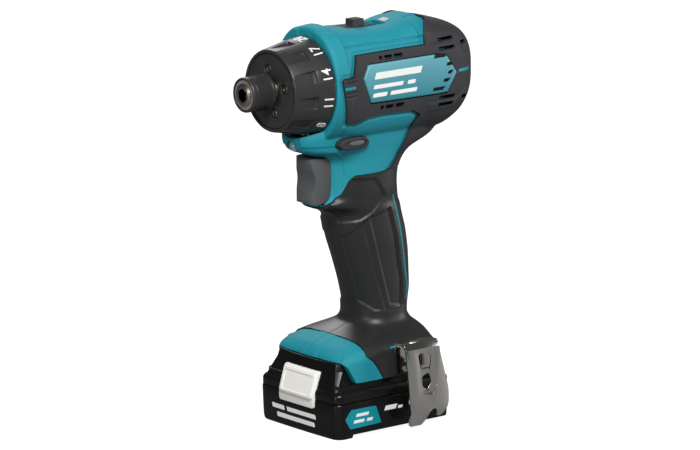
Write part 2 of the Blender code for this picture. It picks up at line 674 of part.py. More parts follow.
def make_front(black, steel, bright, grey):
    case_rear, floor = MOTOR_FRONT - GAP, CASE_FACE + 2.3
    bore, seat = BUSH_RADIUS + GAP, RING_GEAR_RADIUS + GAP
    case = turned("gear_case", (
        (TUBE_FRONT, bore), (TUBE_FRONT, TUBE_RADIUS), (CASE_FACE, TUBE_RADIUS),
        (CASE_FACE, CASE_RADIUS), (case_rear, CASE_RADIUS), (case_rear, seat), (floor, seat),
        (floor, bore)), 36)
    plate = tube("front_plate", RING_FRONT + 0.5, TUBE_FRONT - GAP, SPINDLE_RADIUS + 0.6,
                 RING_INNER + 0.9, 32)
    hole = SCREW_RADIUS + GAP
    head = RING_FRONT + 0.6
    for index in range(4):
        a = math.radians(78 + 90 * index)
        y, z = SCREW_CIRCLE * math.cos(a), SCREW_CIRCLE * math.sin(a)
        at = (y, AXIS_Z + z)
        case = cut(case, rod("hole", TUBE_FRONT - 1.0, TUBE_FRONT + 8.0, hole, 10, *at))
        plate = cut(plate, rod("hole", RING_FRONT - 1.0, TUBE_FRONT + 1.0, hole, 10, *at),
                    rod("seat", RING_FRONT - 1.0, head + 1.0, SCREW_HEAD + GAP, 12, *at))
        screw = turned(f"front_plate_screw_{index + 1}", (
            (head, 0.0), (head, SCREW_HEAD - 0.4), (head + 0.3, SCREW_HEAD),
            (head + 0.7, SCREW_HEAD), (head + 0.7, SCREW_RADIUS), (TUBE_FRONT + 7.0, SCREW_RADIUS),
            (TUBE_FRONT + 7.6, 0.0)), 12)
        screw.data.transform(Matrix.Translation((0.0, y * MM, z * MM)))
        dress(screw, bright)
    dress(case, grey)
    dress(plate, black)

    ring = turned("torque_ring", (
        (RING_FRONT, RING_INNER + 1.2), (RING_FRONT, RING_FRONT_RADIUS - 0.7),
        (RING_FRONT + 0.7, RING_FRONT_RADIUS), (RING_REAR - 6.0, RING_REAR_RADIUS - 0.9),
        (RING_REAR - 0.8, RING_REAR_RADIUS), (RING_REAR, RING_REAR_RADIUS - 0.7),
        (RING_REAR, RING_INNER + 1.4), (RING_REAR - 5.0, RING_INNER), (TUBE_FRONT, RING_INNER),
        (TUBE_FRONT, RING_INNER + 1.2)), 48)
    dress(ring, black, 30.0, (RING_FRONT, 0.0, AXIS_Z))
    nut = tube("clutch_nut", NUT_X, NUT_X + NUT_LENGTH, TUBE_RADIUS + GAP, RING_INNER - GAP, 32)
    dress(nut, grey, 30.0, (NUT_X, 0.0, AXIS_Z))
    washer_rear = CASE_FACE - GAP
    washer_front = washer_rear - 1.4
    washer = tube("clutch_washer", washer_front, washer_rear, TUBE_RADIUS + GAP, RING_INNER - 0.8)
    dress(washer, bright)
    middle = (TUBE_RADIUS + RING_INNER) / 2
    spring = helix("clutch_spring", NUT_X + NUT_LENGTH + GAP, washer_front - GAP, middle,
                   CLUTCH_WIRE, 4, 16, 5)
    dress(spring, bright, 60.0)
    bush = tube("spindle_bush", TUBE_FRONT + GAP, TUBE_FRONT + 13.0, SPINDLE_RADIUS + GAP,
                BUSH_RADIUS, 28)
    dress(bush, bright)

    flange = ORBIT + PIN_RADIUS + 0.9
    groove_front, groove_rear = CLIP_X - GAP, CLIP_X + CLIP_WIRE + GAP
    spindle = turned("spindle", (
        (NOSE_FRONT, 0.0), (NOSE_FRONT, SPINDLE_RADIUS - 0.9), (NOSE_FRONT + 0.8, SPINDLE_RADIUS),
        (groove_front, SPINDLE_RADIUS), (groove_front, CLIP_GROOVE), (groove_rear, CLIP_GROOVE),
        (groove_rear, SPINDLE_RADIUS), (FLANGE_X, SPINDLE_RADIUS), (FLANGE_X, flange),
        (FRONT_PINS, flange), (FRONT_PINS, 0.0)), 28)
    spindle = join(spindle, *pins(FRONT_PINS - 0.6, FRONT_PLANETS + GEAR_WIDTH - GAP))
    across = HEX_ACROSS / math.sqrt(3)
    hexagon = circle(across, 6, 0.0, AXIS_Z, math.pi / 6)
    spindle = cut(
        spindle,
        prism("hexagon", hexagon, "X", NOSE_FRONT - 2.0, NOSE_FRONT + HEX_DEPTH),
        rod("ball_holes", AXIS_Z - 8.0, AXIS_Z + 8.0, BALL_RADIUS + GAP, 12, BALL_X, 0.0, "Z"))
    dress(spindle, bright, 25.0, (NOSE_FRONT, 0.0, AXIS_Z))
    for index, side in enumerate((-1, 1), 1):
        shape = bmesh.new()
        bmesh.ops.create_icosphere(shape, subdivisions=1, radius=BALL_RADIUS * MM)
        mesh = bpy.data.meshes.new("ball")
        shape.to_mesh(mesh)
        shape.free()
        ball = bpy.data.objects.new(f"lock_ball_{index}", mesh)
        bpy.context.scene.collection.objects.link(ball)
        reach = SPINDLE_RADIUS - BALL_RADIUS
        ball.data.transform(Matrix.Translation(Vector((BALL_X, 0.0, AXIS_Z + side * reach)) * MM))
        dress(ball, bright, 60.0)

    bore, hollow = SPINDLE_RADIUS + GAP, SLEEVE_RADIUS - 1.1
    stop = BALL_X - 2.6  # where the sleeve's spring bears
    sleeve = turned("bit_sleeve", (
        (SLEEVE_FRONT, hollow), (SLEEVE_FRONT, SLEEVE_RADIUS - 0.6), (SLEEVE_FRONT + 0.8, SLEEVE_RADIUS),
        (SLEEVE_REAR - 0.6, SLEEVE_RADIUS), (SLEEVE_REAR, SLEEVE_RADIUS - 0.5), (SLEEVE_REAR, bore),
        (BALL_X + 3.6, bore), (BALL_X + 3.2, 7.3), (BALL_X + 1.8, 7.3), (BALL_X + 1.4, bore),
        (stop, bore), (stop, hollow)), 28)
    dress(sleeve, black, 30.0, (SLEEVE_REAR, 0.0, AXIS_Z))
    clip_rear = CLIP_X + CLIP_WIRE
    dress(tube("sleeve_clip", CLIP_X, clip_rear, CLIP_GROOVE + GAP, hollow - GAP, 28), bright)
    middle = (SPINDLE_RADIUS + hollow) / 2
    coil = helix("sleeve_spring", clip_rear + GAP, stop - GAP, middle, 0.4, 3, 14, 4)
    dress(coil, bright, 60.0)


# Controls

def make_controls(black, soft, grey, clear):
    top, low, face = TRIGGER_TOP, TRIGGER_FLOOR, TRIGGER_FACE
    middle = (top + low) / 2
    side = (
        (TRIGGER_BACK, low + 1.2), (face + 9.0, low + 1.2), (face + 3.6, low + 0.2),
        (face + 0.6, low + 0.8), (face - 0.6, low + 3.0), (face + 0.9, middle - 3.2),
        (face + 1.8, middle + 1.4), (face + 1.2, middle + 6.0), (face - 0.3, top - 1.9),
        (face + 0.4, top - 0.4), (TRIGGER_BACK, top - 0.3))
    trigger = prism("trigger", side, "Y", -TRIGGER_HALF, TRIGGER_HALF)
    edge = TRIGGER_HALF + 1.0
    near = (
        (TRIGGER_BACK + 1.0, edge), (face + 2.6, edge), (face + 2.6, TRIGGER_HALF),
        (face + 0.7, TRIGGER_HALF - 2.2), (face - 0.5, 2.4))
    plan = list(near) + [(x, -y) for x, y in reversed(near)]
    trigger = trim(trigger, prism("plan", plan, "Z", low - 5.0, top + 5.0))
    stem = rod("stem", TRIGGER_BACK - 2.0, SWITCH_FRONT + 3.0, 2.6, 14, 0.0, middle)
    dress(join(trigger, stem), soft, 35.0, (TRIGGER_BACK, 0.0, middle))
    spring = helix("trigger_spring", TRIGGER_BACK + 1.0 + GAP, SWITCH_FRONT - GAP, 3.6, 0.45, 2,
                   12, 4, middle)
    dress(spring, grey, 60.0)
    switch = box("switch_body", (SWITCH_FRONT, -SWITCH_HALF, low + 1.5),
                 (SWITCH_REAR, SWITCH_HALF, top - 1.0))
    switch = cut(switch, rod("well", SWITCH_FRONT - 1.0, SWITCH_FRONT + 9.5, 3.0, 14, 0.0, middle))
    dress(switch, black)

    button = prism("direction_button", button_outline(0.0), "Y", -BUTTON_REACH, BUTTON_REACH)
    dress(button, black, 35.0, (BUTTON_X, 0.0, BUTTON_Z))
    dress(rod("led_lens", LENS_X, LENS_X + 8.0, LENS_RADIUS, 14, 0.0, LENS_Z), clear)

    lever = box("speed_lever", (LEVER_FRONT, -LEVER_HALF, LEVER_FLOOR + GAP),
                (LEVER_FRONT + LEVER_LENGTH, LEVER_HALF, LEVER_FLOOR + 2.5))
    thumb = box("thumb", (LEVER_FRONT + 6.0, -3.4, LEVER_FLOOR + 2.0),
                (LEVER_FRONT + 13.0, 3.4, AXIS_Z + 30.6))
    stem = box("stem", (STEM_FRONT, -STEM_HALF, AXIS_Z + 21.9),
               (STEM_FRONT + STEM_LENGTH, STEM_HALF, LEVER_FLOOR + 0.6))
    dress(join(lever, thumb, stem), black, 30.0, (LEVER_FRONT, 0.0, LEVER_FLOOR))


# Battery

def nose_x(z):
    """The middle of the battery's front face: upright, then sloping back above the tub."""
    return BATTERY_FRONT + max(z - NOSE_BEND, 0.0) * NOSE_SLOPE


def plate_on_nose(name, low, high, wide, out, deep):
    """A slab that follows the front face, from out in front of it to deep behind it."""
    heights = [low, min(max(NOSE_BEND, low + 0.1), high - 0.1), high]
    side = [(nose_x(z) - out, z) for z in heights]
    side += [(nose_x(z) + deep, z) for z in reversed(heights)]
    return prism(name, side, "Y", -wide, wide)


def battery_outline(inset, corner):
    """The battery seen from above: its front face is a little convex."""
    half_long = BATTERY_LENGTH / 2 - inset
    outline = rounded_box(half_long, BATTERY_HALF - inset, corner, BATTERY_MIDDLE)
    bulged = []
    for x, y in outline:
        if x < BATTERY_MIDDLE:
            x += 0.8 * min(abs(y) / BATTERY_HALF, 1.0) ** 2
        bulged.append((x, y))
    middle = BATTERY_FRONT + inset
    count = len(outline) // 2
    return bulged[:count] + [(middle, 9.0), (middle, -9.0)] + bulged[count:]


def make_battery(black, white, steel, wrap):
    wall = BATTERY_WALL
    corner = BATTERY_CORNER
    tub = loft("battery_tub", [[(x, y, z) for x, y in ring] for ring, z in (
        (battery_outline(1.4, corner - 0.6), 0.0), (battery_outline(0.6, corner), 1.4),
        (battery_outline(0.0, corner), TUB_HEIGHT))])
    front, rear = BATTERY_FRONT + 4.0, BATTERY_REAR
    hollow = rounded_box(rear - wall - BATTERY_MIDDLE, BATTERY_HALF - wall, 1.5, BATTERY_MIDDLE)
    tub = cut(tub, prism("inside", hollow, "Z", wall, TUB_HEIGHT + 5.0))
    backing = box("backing", (BATTERY_FRONT + 1.6, -LATCH_HALF - 2.0, LATCH_LOW - 2.4),
                  (BATTERY_FRONT + 6.4, LATCH_HALF + 2.0, TUB_HEIGHT))
    pocket = LATCH_DEEP + LATCH_TRAVEL + GAP
    room = LATCH_HALF + GAP
    tub = cut(join(tub, backing),
              plate_on_nose("pocket", LATCH_LOW - GAP, LATCH_HIGH, room, 4.0, pocket))
    for side in (-1, 1):
        relief = [(side * y, z) for y, z in ((20.0, -0.4), (40.0, -0.4), (40.0, 3.4), (20.0, 0.0))]
        tub = cut(tub, prism("relief", relief, "X", -34.0, 60.0))
    dress(tub, black)

    seam = TUB_HEIGHT + GAP
    lid_top = FOOT_UNDER - 0.6
    lid = loft("battery_top", [[(x, y, z) for x, y in battery_outline(inset, corner)] for inset, z in (
        (0.2, seam), (0.2, 22.6), (2.4, 24.6), (2.4, lid_top))])
    nose = []
    for z, face_half, face_back, side_half, side_back, back in NOSE:
        middle = nose_x(z)
        ring = [(middle, 9.0), (middle + face_back, face_half), (middle + side_back, side_half),
                (back, side_half)]
        nose.append([(x, y, z) for x, y in ring] + [(x, -y, z) for x, y in reversed(ring)])
    tower_rear = BATTERY_REAR - 16.0
    tower = box("tower", (-37.4, -BAY_HALF, 25.0), (tower_rear, BAY_HALF, BAY_TOP))
    lid = join(lid, loft("nose", nose), tower)
    inner = BATTERY_HALF - 2.2
    ceiling = box("inside", (front + 4.0, -inner, 10.0),
                  (rear - 2.2, inner, 2 * CELL_RADIUS + 3.2))
    lid = cut(lid, ceiling, plate_on_nose("pocket", 10.0, LATCH_HIGH + GAP, room, 4.0, pocket))
    for side in (-1, 1):
        y = side * TERMINAL_Y
        lid = cut(lid, box("slot", (tower_rear - 14.0, y - BLADE_THICK, 31.0),
                           (tower_rear + 2.0, y + BLADE_THICK, 34.6)))
    dress(lid, black)

    latch = plate_on_nose("battery_latch", LATCH_LOW, LATCH_HIGH, LATCH_HALF, LATCH_PROUD,
                          LATCH_DEEP)
    dress(latch, white, 30.0, (BATTERY_FRONT, 0.0, TUB_HEIGHT))
    behind = nose_x(LATCH_SPRING_Z) + LATCH_DEEP
    spring = helix("latch_spring", behind + GAP, behind + LATCH_TRAVEL, LATCH_SPRING_RADIUS,
                   LATCH_WIRE, 2, 12, 4, LATCH_SPRING_Z, NOSE_SLOPE)
    dress(spring, steel, 60.0)

    low = BATTERY_REAR - wall - 1.0 - CELL_LENGTH
    high = low + CELL_LENGTH
    for index in range(3):
        across = (index - 1) * (2 * CELL_RADIUS + GAP)
        cell = turned(f"cell_{index + 1}", (
            (low, 0.0), (low, 5.0), (low + 0.8, 5.0), (low + 0.8, CELL_RADIUS - 0.6),
            (low + 1.4, CELL_RADIUS), (high - 0.6, CELL_RADIUS), (high, CELL_RADIUS - 0.6),
            (high, 0.0)), 24)
        drop = wall + GAP + CELL_RADIUS - AXIS_Z
        cell.data.transform(Matrix.Translation(Vector((0.0, across, drop)) * MM))
        dress(cell, wrap)

    block = box("terminal_block", (tower_rear + 1.0, -12.0, 29.0),
                (BATTERY_REAR - 5.7, 12.0, BAY_TOP + 0.2))
    for y in (-TERMINAL_Y, TERMINAL_Y):
        blade = box("blade", (tower_rear - 10.0, y - BLADE_THICK / 2, 31.6),
                    (tower_rear + 3.0, y + BLADE_THICK / 2, 34.0))
        block = join(block, blade)
    dress(block, steel)


# Belt clip, on the left side of the foot

def make_clip(steel):
    face = -(FOOT_HALF + 0.6 + GAP)
    inner = face - CLIP_STEEL - CLIP_GAP
    outer = inner - CLIP_STEEL
    profile = (
        (face, 30.0), (face, 43.0), (face - 2.0, 46.2), (outer + 2.0, 46.2), (outer, 43.0),
        (outer - 1.0, 10.0), (outer + 2.6, 2.2), (outer + 4.0, 2.8), (inner - 1.0, 10.4),
        (inner, 42.4), (inner + 1.4, 44.9), (face - 2.6, 44.9), (face - CLIP_STEEL, 42.4),
        (face - CLIP_STEEL, 30.0))
    clip = prism("belt_clip", profile, "X", CLIP_LOW - 5.0, CLIP_LOW + 30.0)
    low, high = CLIP_LOW, CLIP_LOW + CLIP_WIDTH
    front = (
        (low, 50.0), (high, 50.0), (high + 0.8, 40.0), (high + 6.0, 20.0), (high + 6.0, 12.0),
        (high + 2.0, 6.6), (high - 1.0, 5.4), (high - 3.4, 9.6), (high - 6.6, 9.6),
        (high - 9.0, 3.4), (high - 12.0, 1.0), (high - 15.4, 1.0), (low + 1.0, 8.0))
    clip = trim(clip, prism("front", front, "Y", -60.0, -20.0))
    middle = (low + high) / 2
    clip = cut(clip, rod("hole", outer + 3.0, -20.0, 2.2, 12, middle, 36.0, "Y"),
               box("window", (middle - 3.6, -60.0, 32.6), (middle + 3.4, inner + 0.8, 38.4)),
               box("window", (middle - 2.8, -60.0, 20.4), (middle + 3.8, inner + 0.8, 29.4)))
    dress(clip, steel)


def main():
    for item in list(bpy.data.objects):
        bpy.data.objects.remove(item)
    teal = finish("teal_nylon", (0.0, 0.22, 0.28), 0.42)
    black = finish("black_nylon", (0.02, 0.02, 0.022), 0.45)
    soft = finish("soft_elastomer", (0.035, 0.036, 0.038), 0.62)
    label = finish("label_print", (0.0, 0.25, 0.31), 0.35)
    grey = finish("cast_alloy", (0.42, 0.43, 0.44), 0.4, 1.0)
    steel = finish("dark_steel", (0.32, 0.32, 0.33), 0.38, 1.0)
    bright = finish("bright_steel", (0.72, 0.71, 0.69), 0.25, 1.0)
    copper = finish("copper", (0.72, 0.32, 0.16), 0.35, 1.0)
    white = finish("latch_white", (0.85, 0.83, 0.78), 0.4)
    wrap = finish("cell_wrap", (0.06, 0.2, 0.12), 0.35)
    clear = finish("clear_lens", (0.8, 0.85, 0.9), 0.1)
    make_housing(teal, black, soft, label)
    make_gears(steel, bright)
    make_motor(steel, bright, copper, black)
    make_front(black, steel, bright, grey)
    make_controls(black, soft, steel, clear)
    make_battery(black, white, bright, wrap)
    make_clip(bright)


main()
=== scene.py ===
"""Looks of a cordless drill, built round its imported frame.

The drawing is in millimetres, in the frame of the CAD: the bit holder points to -X, +Z is up, and
the origin is on the battery's flat base. A shape is scaled to metres where its mesh is made.
"""

import json
import logging
import math
from dataclasses import dataclass, field
from enum import Enum

import bmesh
import bpy
import numpy as np
from mathutils import Matrix, Vector

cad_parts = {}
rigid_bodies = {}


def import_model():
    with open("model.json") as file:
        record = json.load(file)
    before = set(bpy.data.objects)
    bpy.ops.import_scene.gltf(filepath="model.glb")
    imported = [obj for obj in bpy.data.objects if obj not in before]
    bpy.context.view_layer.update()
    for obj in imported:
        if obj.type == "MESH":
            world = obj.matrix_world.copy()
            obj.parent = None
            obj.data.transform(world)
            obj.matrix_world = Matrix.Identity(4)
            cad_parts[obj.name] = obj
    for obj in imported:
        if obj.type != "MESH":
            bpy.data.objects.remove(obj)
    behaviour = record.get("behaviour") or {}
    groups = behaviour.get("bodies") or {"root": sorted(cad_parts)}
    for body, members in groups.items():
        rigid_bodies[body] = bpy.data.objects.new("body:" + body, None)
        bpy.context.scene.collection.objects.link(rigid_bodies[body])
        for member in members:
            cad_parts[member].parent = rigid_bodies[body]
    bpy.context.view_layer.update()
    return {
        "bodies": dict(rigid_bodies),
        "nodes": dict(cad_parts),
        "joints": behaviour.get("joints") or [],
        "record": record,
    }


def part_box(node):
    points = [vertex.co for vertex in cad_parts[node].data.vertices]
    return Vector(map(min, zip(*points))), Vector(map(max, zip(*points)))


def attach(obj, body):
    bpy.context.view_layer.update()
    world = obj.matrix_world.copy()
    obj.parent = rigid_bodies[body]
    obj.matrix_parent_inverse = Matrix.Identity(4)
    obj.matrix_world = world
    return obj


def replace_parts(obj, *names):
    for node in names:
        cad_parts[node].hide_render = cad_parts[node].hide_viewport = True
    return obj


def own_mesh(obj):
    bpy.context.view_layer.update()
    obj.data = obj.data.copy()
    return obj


MM = 0.001
SEED = 7  # of the screws' random turns

# What several sub-assemblies share, in millimetres
GAP = 0.3  # the clearance between pieces
AXIS_Z = 177.8  # the spindle's axis
RING_REAR = -37.8  # the torque ring's rear edge, where the head begins
HEAD_HALF = 24.5  # half the head's width at the motor
FOOT_UNDER = 28.0  # the underside of the foot
NOSE_SLOPE = 0.31  # how far the battery's nose leans back for each millimetre up

Outline = list[tuple[float, float]]
Rows = tuple[tuple[float, ...], ...]
Thing = bpy.types.Object

log = logging.getLogger("drill")


class Solver(Enum):
    """Which of Blender's Boolean solvers makes a cut."""

    DENSE = "MANIFOLD"
    FINE = "EXACT"


class Side(Enum):
    """The two sides of the drill, by the sign of Y."""

    LEFT = -1
    RIGHT = 1

    @property
    def word(self) -> str:
        """The side's name as the nodes give it."""
        return self.name.lower()


# Mesh tools


def new_thing(name: str, mesh: bpy.types.Mesh) -> Thing:
    """Links a mesh to the scene as an object at the origin.

    Args:
        name: The object's name.
        mesh: Its mesh.

    Returns:
        The object.
    """
    thing = bpy.data.objects.new(name, mesh)
    bpy.context.scene.collection.objects.link(thing)
    return thing


def solid(name: str, points: np.ndarray | list, faces: list[tuple[int, ...]]) -> Thing:
    """Makes a closed object with its faces turned outwards.

    Args:
        name: The object's name.
        points: Its corners, in millimetres.
        faces: Its faces, as corner numbers.

    Returns:
        The object, at the origin.
    """
    mesh = bpy.data.meshes.new(name)
    mesh.from_pydata((np.array(points, float) * MM).tolist(), [], faces)
    shape = bmesh.new()
    shape.from_mesh(mesh)
    bmesh.ops.recalc_face_normals(shape, faces=shape.faces)
    if shape.calc_volume(signed=True) < 0:
        bmesh.ops.reverse_faces(shape, faces=shape.faces)
    shape.to_mesh(mesh)
    shape.free()
    return new_thing(name, mesh)


def loft(name: str, rings: np.ndarray | list) -> Thing:
    """Joins rings of the same number of points into a closed solid.

    Args:
        name: The object's name.
        rings: The rings, each a list of points in millimetres.

    Returns:
        The object.
    """
    rings = np.array(rings, float)
    rows, count = rings.shape[:2]
    faces = [
        (row * count + i, row * count + (i + 1) % count,
         (row + 1) * count + (i + 1) % count, (row + 1) * count + i)
        for row in range(rows - 1)
        for i in range(count)
    ]
    faces.append(tuple(range(count)))
    faces.append(tuple(range((rows - 1) * count, rows * count)))
    return solid(name, rings.reshape(-1, 3), faces)


def prism(name: str, outline: Outline, axis: str, low: float, high: float) -> Thing:
    """Extrudes an outline drawn across an axis, from low to high along it.

    Args:
        name: The object's name.
        outline: Its edge across the axis, in millimetres.
        axis: The axis, by its capital letter.
        low: Where it starts along the axis.
        high: Where it ends.

    Returns:
        The solid.
    """
    order = {"X": (1, 2, 0), "Y": (0, 2, 1), "Z": (0, 1, 2)}[axis]
    rings = np.zeros((2, len(outline), 3))
    rings[:, :, order[0]] = [point[0] for point in outline]
    rings[:, :, order[1]] = [point[1] for point in outline]
    rings[:, :, order[2]] = np.array([[low], [high]])
    return loft(name, rings)


def box(name: str, low: tuple[float, ...], high: tuple[float, ...]) -> Thing:
    """A block between two corners."""
    outline = [(low[0], low[1]), (high[0], low[1]), (high[0], high[1]), (low[0], high[1])]
    return prism(name, outline, "Z", low[2], high[2])


def circle(radius: float, count: int, across: float = 0.0, up: float = 0.0) -> Outline:
    """Points of a circle."""
    steps = [math.tau * i / count for i in range(count)]
    return [(across + radius * math.cos(a), up + radius * math.sin(a)) for a in steps]


def rod(name: str, axis: str, low: float, high: float, radius: float, at: tuple[float, float],
        count: int = 32) -> Thing:
    """A round bar along an axis, through the point at across it."""
    return prism(name, circle(radius, count, *at), axis, low, high)


def superellipse(half_a: float, half_b: float, power: float, count: int) -> np.ndarray:
    """Points of an oval whose corners fill out as the power grows.

    Args:
        half_a: Half its width across.
        half_b: Half its height.
        power: 2 for an ellipse; more fills out the corners.
        count: How many points it has.

    Returns:
        The points, one row each.
    """
    a = np.arange(count) * math.tau / count
    c, s = np.cos(a), np.sin(a)
    across = half_a * np.sign(c) * np.abs(c) ** (2 / power)
    up = half_b * np.sign(s) * np.abs(s) ** (2 / power)
    return np.stack([across, up], axis=1)


def rounded(outline: Outline, radius: float, steps: int = 5) -> Outline:
    """Rounds each corner of an outline by up to radius, with a smooth arc.

    Args:
        outline: The outline's corners.
        radius: The most that a corner is cut back along each side.
        steps: How many steps an arc has.

    Returns:
        The rounded outline.
    """
    made = []
    points = [Vector(point) for point in outline]
    for i, point in enumerate(points):
        before, after = points[i - 1] - point, points[(i + 1) % len(points)] - point
        start = point + before.normalized() * min(radius, before.length * 0.48)
        end = point + after.normalized() * min(radius, after.length * 0.48)
        for k in range(steps + 1):
            t = k / steps
            made.append(tuple(start * (1 - t) ** 2 + point * 2 * t * (1 - t) + end * t * t))
    return made


def shifted(outline: Outline, across: float, up: float) -> Outline:
    """An outline moved across and up."""
    return [(a + across, b + up) for a, b in outline]


def grown(outline: Outline, grow: float) -> Outline:
    """An outline with its points moved out by grow.

    Args:
        outline: The outline's corners.
        grow: How far its sides move out; negative moves them in.

    Returns:
        The moved outline.
    """
    points = [Vector(point) for point in outline]
    count = len(points)
    area = sum(points[i].cross(points[(i + 1) % count]) for i in range(count))
    turn = grow if area > 0 else -grow
    moved = []
    for i, point in enumerate(points):
        before = (point - points[i - 1]).normalized()
        after = (points[(i + 1) % count] - point).normalized()
        bisector = Vector((before.y + after.y, -before.x - after.x)).normalized()
        share = max(bisector.dot(Vector((before.y, -before.x))), 0.35)
        moved.append(tuple(point + bisector * turn / share))
    return moved


def finer(rows: Rows, step: float) -> np.ndarray:
    """Rows at finer steps along their first value, on curves that never overshoot.

    Args:
        rows: Rows whose first value rises.
        step: The widest step wanted, in the first value's unit.

    Returns:
        The finer rows.
    """
    table = np.array(rows, float)
    width = np.diff(table[:, 0])
    slope = np.diff(table, axis=0) / width[:, None]
    tangent = np.zeros_like(table)
    tangent[0], tangent[-1] = slope[0], slope[-1]
    product = slope[:-1] * slope[1:]
    total = slope[:-1] + slope[1:]
    steady = product > 0
    tangent[1:-1][steady] = 2 * product[steady] / total[steady]
    made = [table[:1]]
    for i, span in enumerate(width):
        count = max(1, math.ceil(span / step))
        t = (np.arange(count) + 1)[:, None] / count
        made.append(
            (2 * t**3 - 3 * t**2 + 1) * table[i] + (t**3 - 2 * t**2 + t) * span * tangent[i]
            + (3 * t**2 - 2 * t**3) * table[i + 1] + (t**3 - t**2) * span * tangent[i + 1]
        )
    return np.concatenate(made)


def turned(name: str, profile: Outline, up: float, count: int = 128) -> Thing:
    """Turns a closed profile of (x, radius) points about an axis along X.

    Args:
        name: The object's name.
        profile: The profile's points.
        up: The axis's height.
        count: How many steps the turn takes.

    Returns:
        The ring-shaped object.
    """
    a = np.arange(count) * math.tau / count
    points = [
        (x, radius * math.cos(t), up + radius * math.sin(t)) for x, radius in profile for t in a
    ]
    rows = len(profile)
    faces = [
        (r * count + i, r * count + (i + 1) % count,
         (r + 1) % rows * count + (i + 1) % count, (r + 1) % rows * count + i)
        for r in range(rows)
        for i in range(count)
    ]
    return solid(name, points, faces)


def settled(thing: Thing) -> Thing:
    """Applies a piece's modifiers to its mesh and removes them.

    Args:
        thing: The piece.

    Returns:
        The same piece.
    """
    bpy.context.view_layer.update()
    graph = bpy.context.evaluated_depsgraph_get()
    mesh = bpy.data.meshes.new_from_object(thing.evaluated_get(graph))
    thing.modifiers.clear()
    thing.data = mesh
    return thing


def combine(target: Thing, operation: str, *others: Thing, solver: Solver = Solver.DENSE) -> Thing:
    """Joins, cuts or trims a piece with others, which are used up.

    Args:
        target: The piece that is kept.
        operation: UNION, DIFFERENCE or INTERSECT.
        others: What it is combined with.
        solver: The Boolean solver.

    Returns:
        The target.
    """
    for other in others:
        modifier = target.modifiers.new(operation, "BOOLEAN")
        modifier.operation = operation
        modifier.solver = solver.value
        modifier.object = other
        settled(target)
        bpy.data.objects.remove(other)
    return target


def join(target: Thing, *others: Thing, solver: Solver = Solver.DENSE) -> Thing:
    """Joins others to the target."""
    return combine(target, "UNION", *others, solver=solver)


def cut(target: Thing, *others: Thing, solver: Solver = Solver.DENSE) -> Thing:
    """Cuts others from the target."""
    return combine(target, "DIFFERENCE", *others, solver=solver)


def trim(target: Thing, *others: Thing, solver: Solver = Solver.DENSE) -> Thing:
    """Keeps what the target and the others share."""
    return combine(target, "INTERSECT", *others, solver=solver)


def copied(thing: Thing, name: str) -> Thing:
    """A copy of an object with a mesh of its own."""
    return new_thing(name, thing.data.copy())


def bevelled(thing: Thing, width: float, segments: int = 3, angle: float = 38.0) -> Thing:
    """Rounds the edges that are sharper than an angle, by a width in millimetres.

    Args:
        thing: The piece.
        width: How wide the rounded edges are.
        segments: The steps of a rounded edge.
        angle: Edges sharper than this are rounded, in degrees.

    Returns:
        The same piece.
    """
    modifier = thing.modifiers.new("Edges", "BEVEL")
    modifier.width = width * MM
    modifier.segments = segments
    modifier.limit_method = "ANGLE"
    modifier.angle_limit = math.radians(angle)
    modifier.harden_normals = False
    return settled(thing)


def refined(node: str, name: str, width: float, segments: int = 3, angle: float = 38.0) -> Thing:
    """A copy of a CAD node with whole faces and rounded edges.

    Args:
        node: The CAD node that is copied.
        name: The piece's name.
        width: The width of the rounded edges, in millimetres.
        segments: The steps of a rounded edge.
        angle: Edges sharper than this are rounded, in degrees.

    Returns:
        The piece, which stands for the node.
    """
    piece = copied(bpy.data.objects[node], name)
    piece.data.materials.clear()
    shape = bmesh.new()
    shape.from_mesh(piece.data)
    bmesh.ops.remove_doubles(shape, verts=shape.verts, dist=1e-6)
    bmesh.ops.dissolve_limit(shape, angle_limit=math.radians(1.5), verts=shape.verts,
                             edges=shape.edges)
    shape.to_mesh(piece.data)
    shape.free()
    bevelled(piece, width, segments, angle)
    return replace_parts(piece, node)


def remeshed(thing: Thing, voxel: float, passes: int) -> Thing:
    """Gives a piece an even, dense mesh and softens it.

    Args:
        thing: The piece.
        voxel: The size of the mesh's cells, in millimetres.
        passes: How often the surface is smoothed.

    Returns:
        The same piece.
    """
    remesh = thing.modifiers.new("Cells", "REMESH")
    remesh.mode = "VOXEL"
    remesh.voxel_size = voxel * MM
    smooth = thing.modifiers.new("Soften", "SMOOTH")
    smooth.iterations = passes
    smooth.factor = 0.5
    return settled(thing)


def depth_inside(points: np.ndarray, outline: Outline) -> np.ndarray:
    """How far inside an outline each point lies, in millimetres; negative outside.

    Args:
        points: Points across and up, one row each.
        outline: The outline's corners.

    Returns:
        One distance for each point.
    """
    nearest = np.full(len(points), 1e9)
    inside = np.zeros(len(points), bool)
    corners = np.array(outline, float)
    for start, end in zip(corners, np.roll(corners, -1, axis=0)):
        run = end - start
        share = np.clip(((points - start) @ run) / max(run @ run, 1e-12), 0, 1)
        nearest = np.minimum(nearest, np.linalg.norm(points - start - share[:, None] * run, axis=1))
        rise = (start[1] > points[:, 1]) != (end[1] > points[:, 1])
        height = np.where(run[1] == 0, 1e-12, run[1])
        crossing = start[0] + run[0] * (points[:, 1] - start[1]) / height
        inside ^= rise & (points[:, 0] < crossing)
    return np.where(inside, nearest, -nearest)


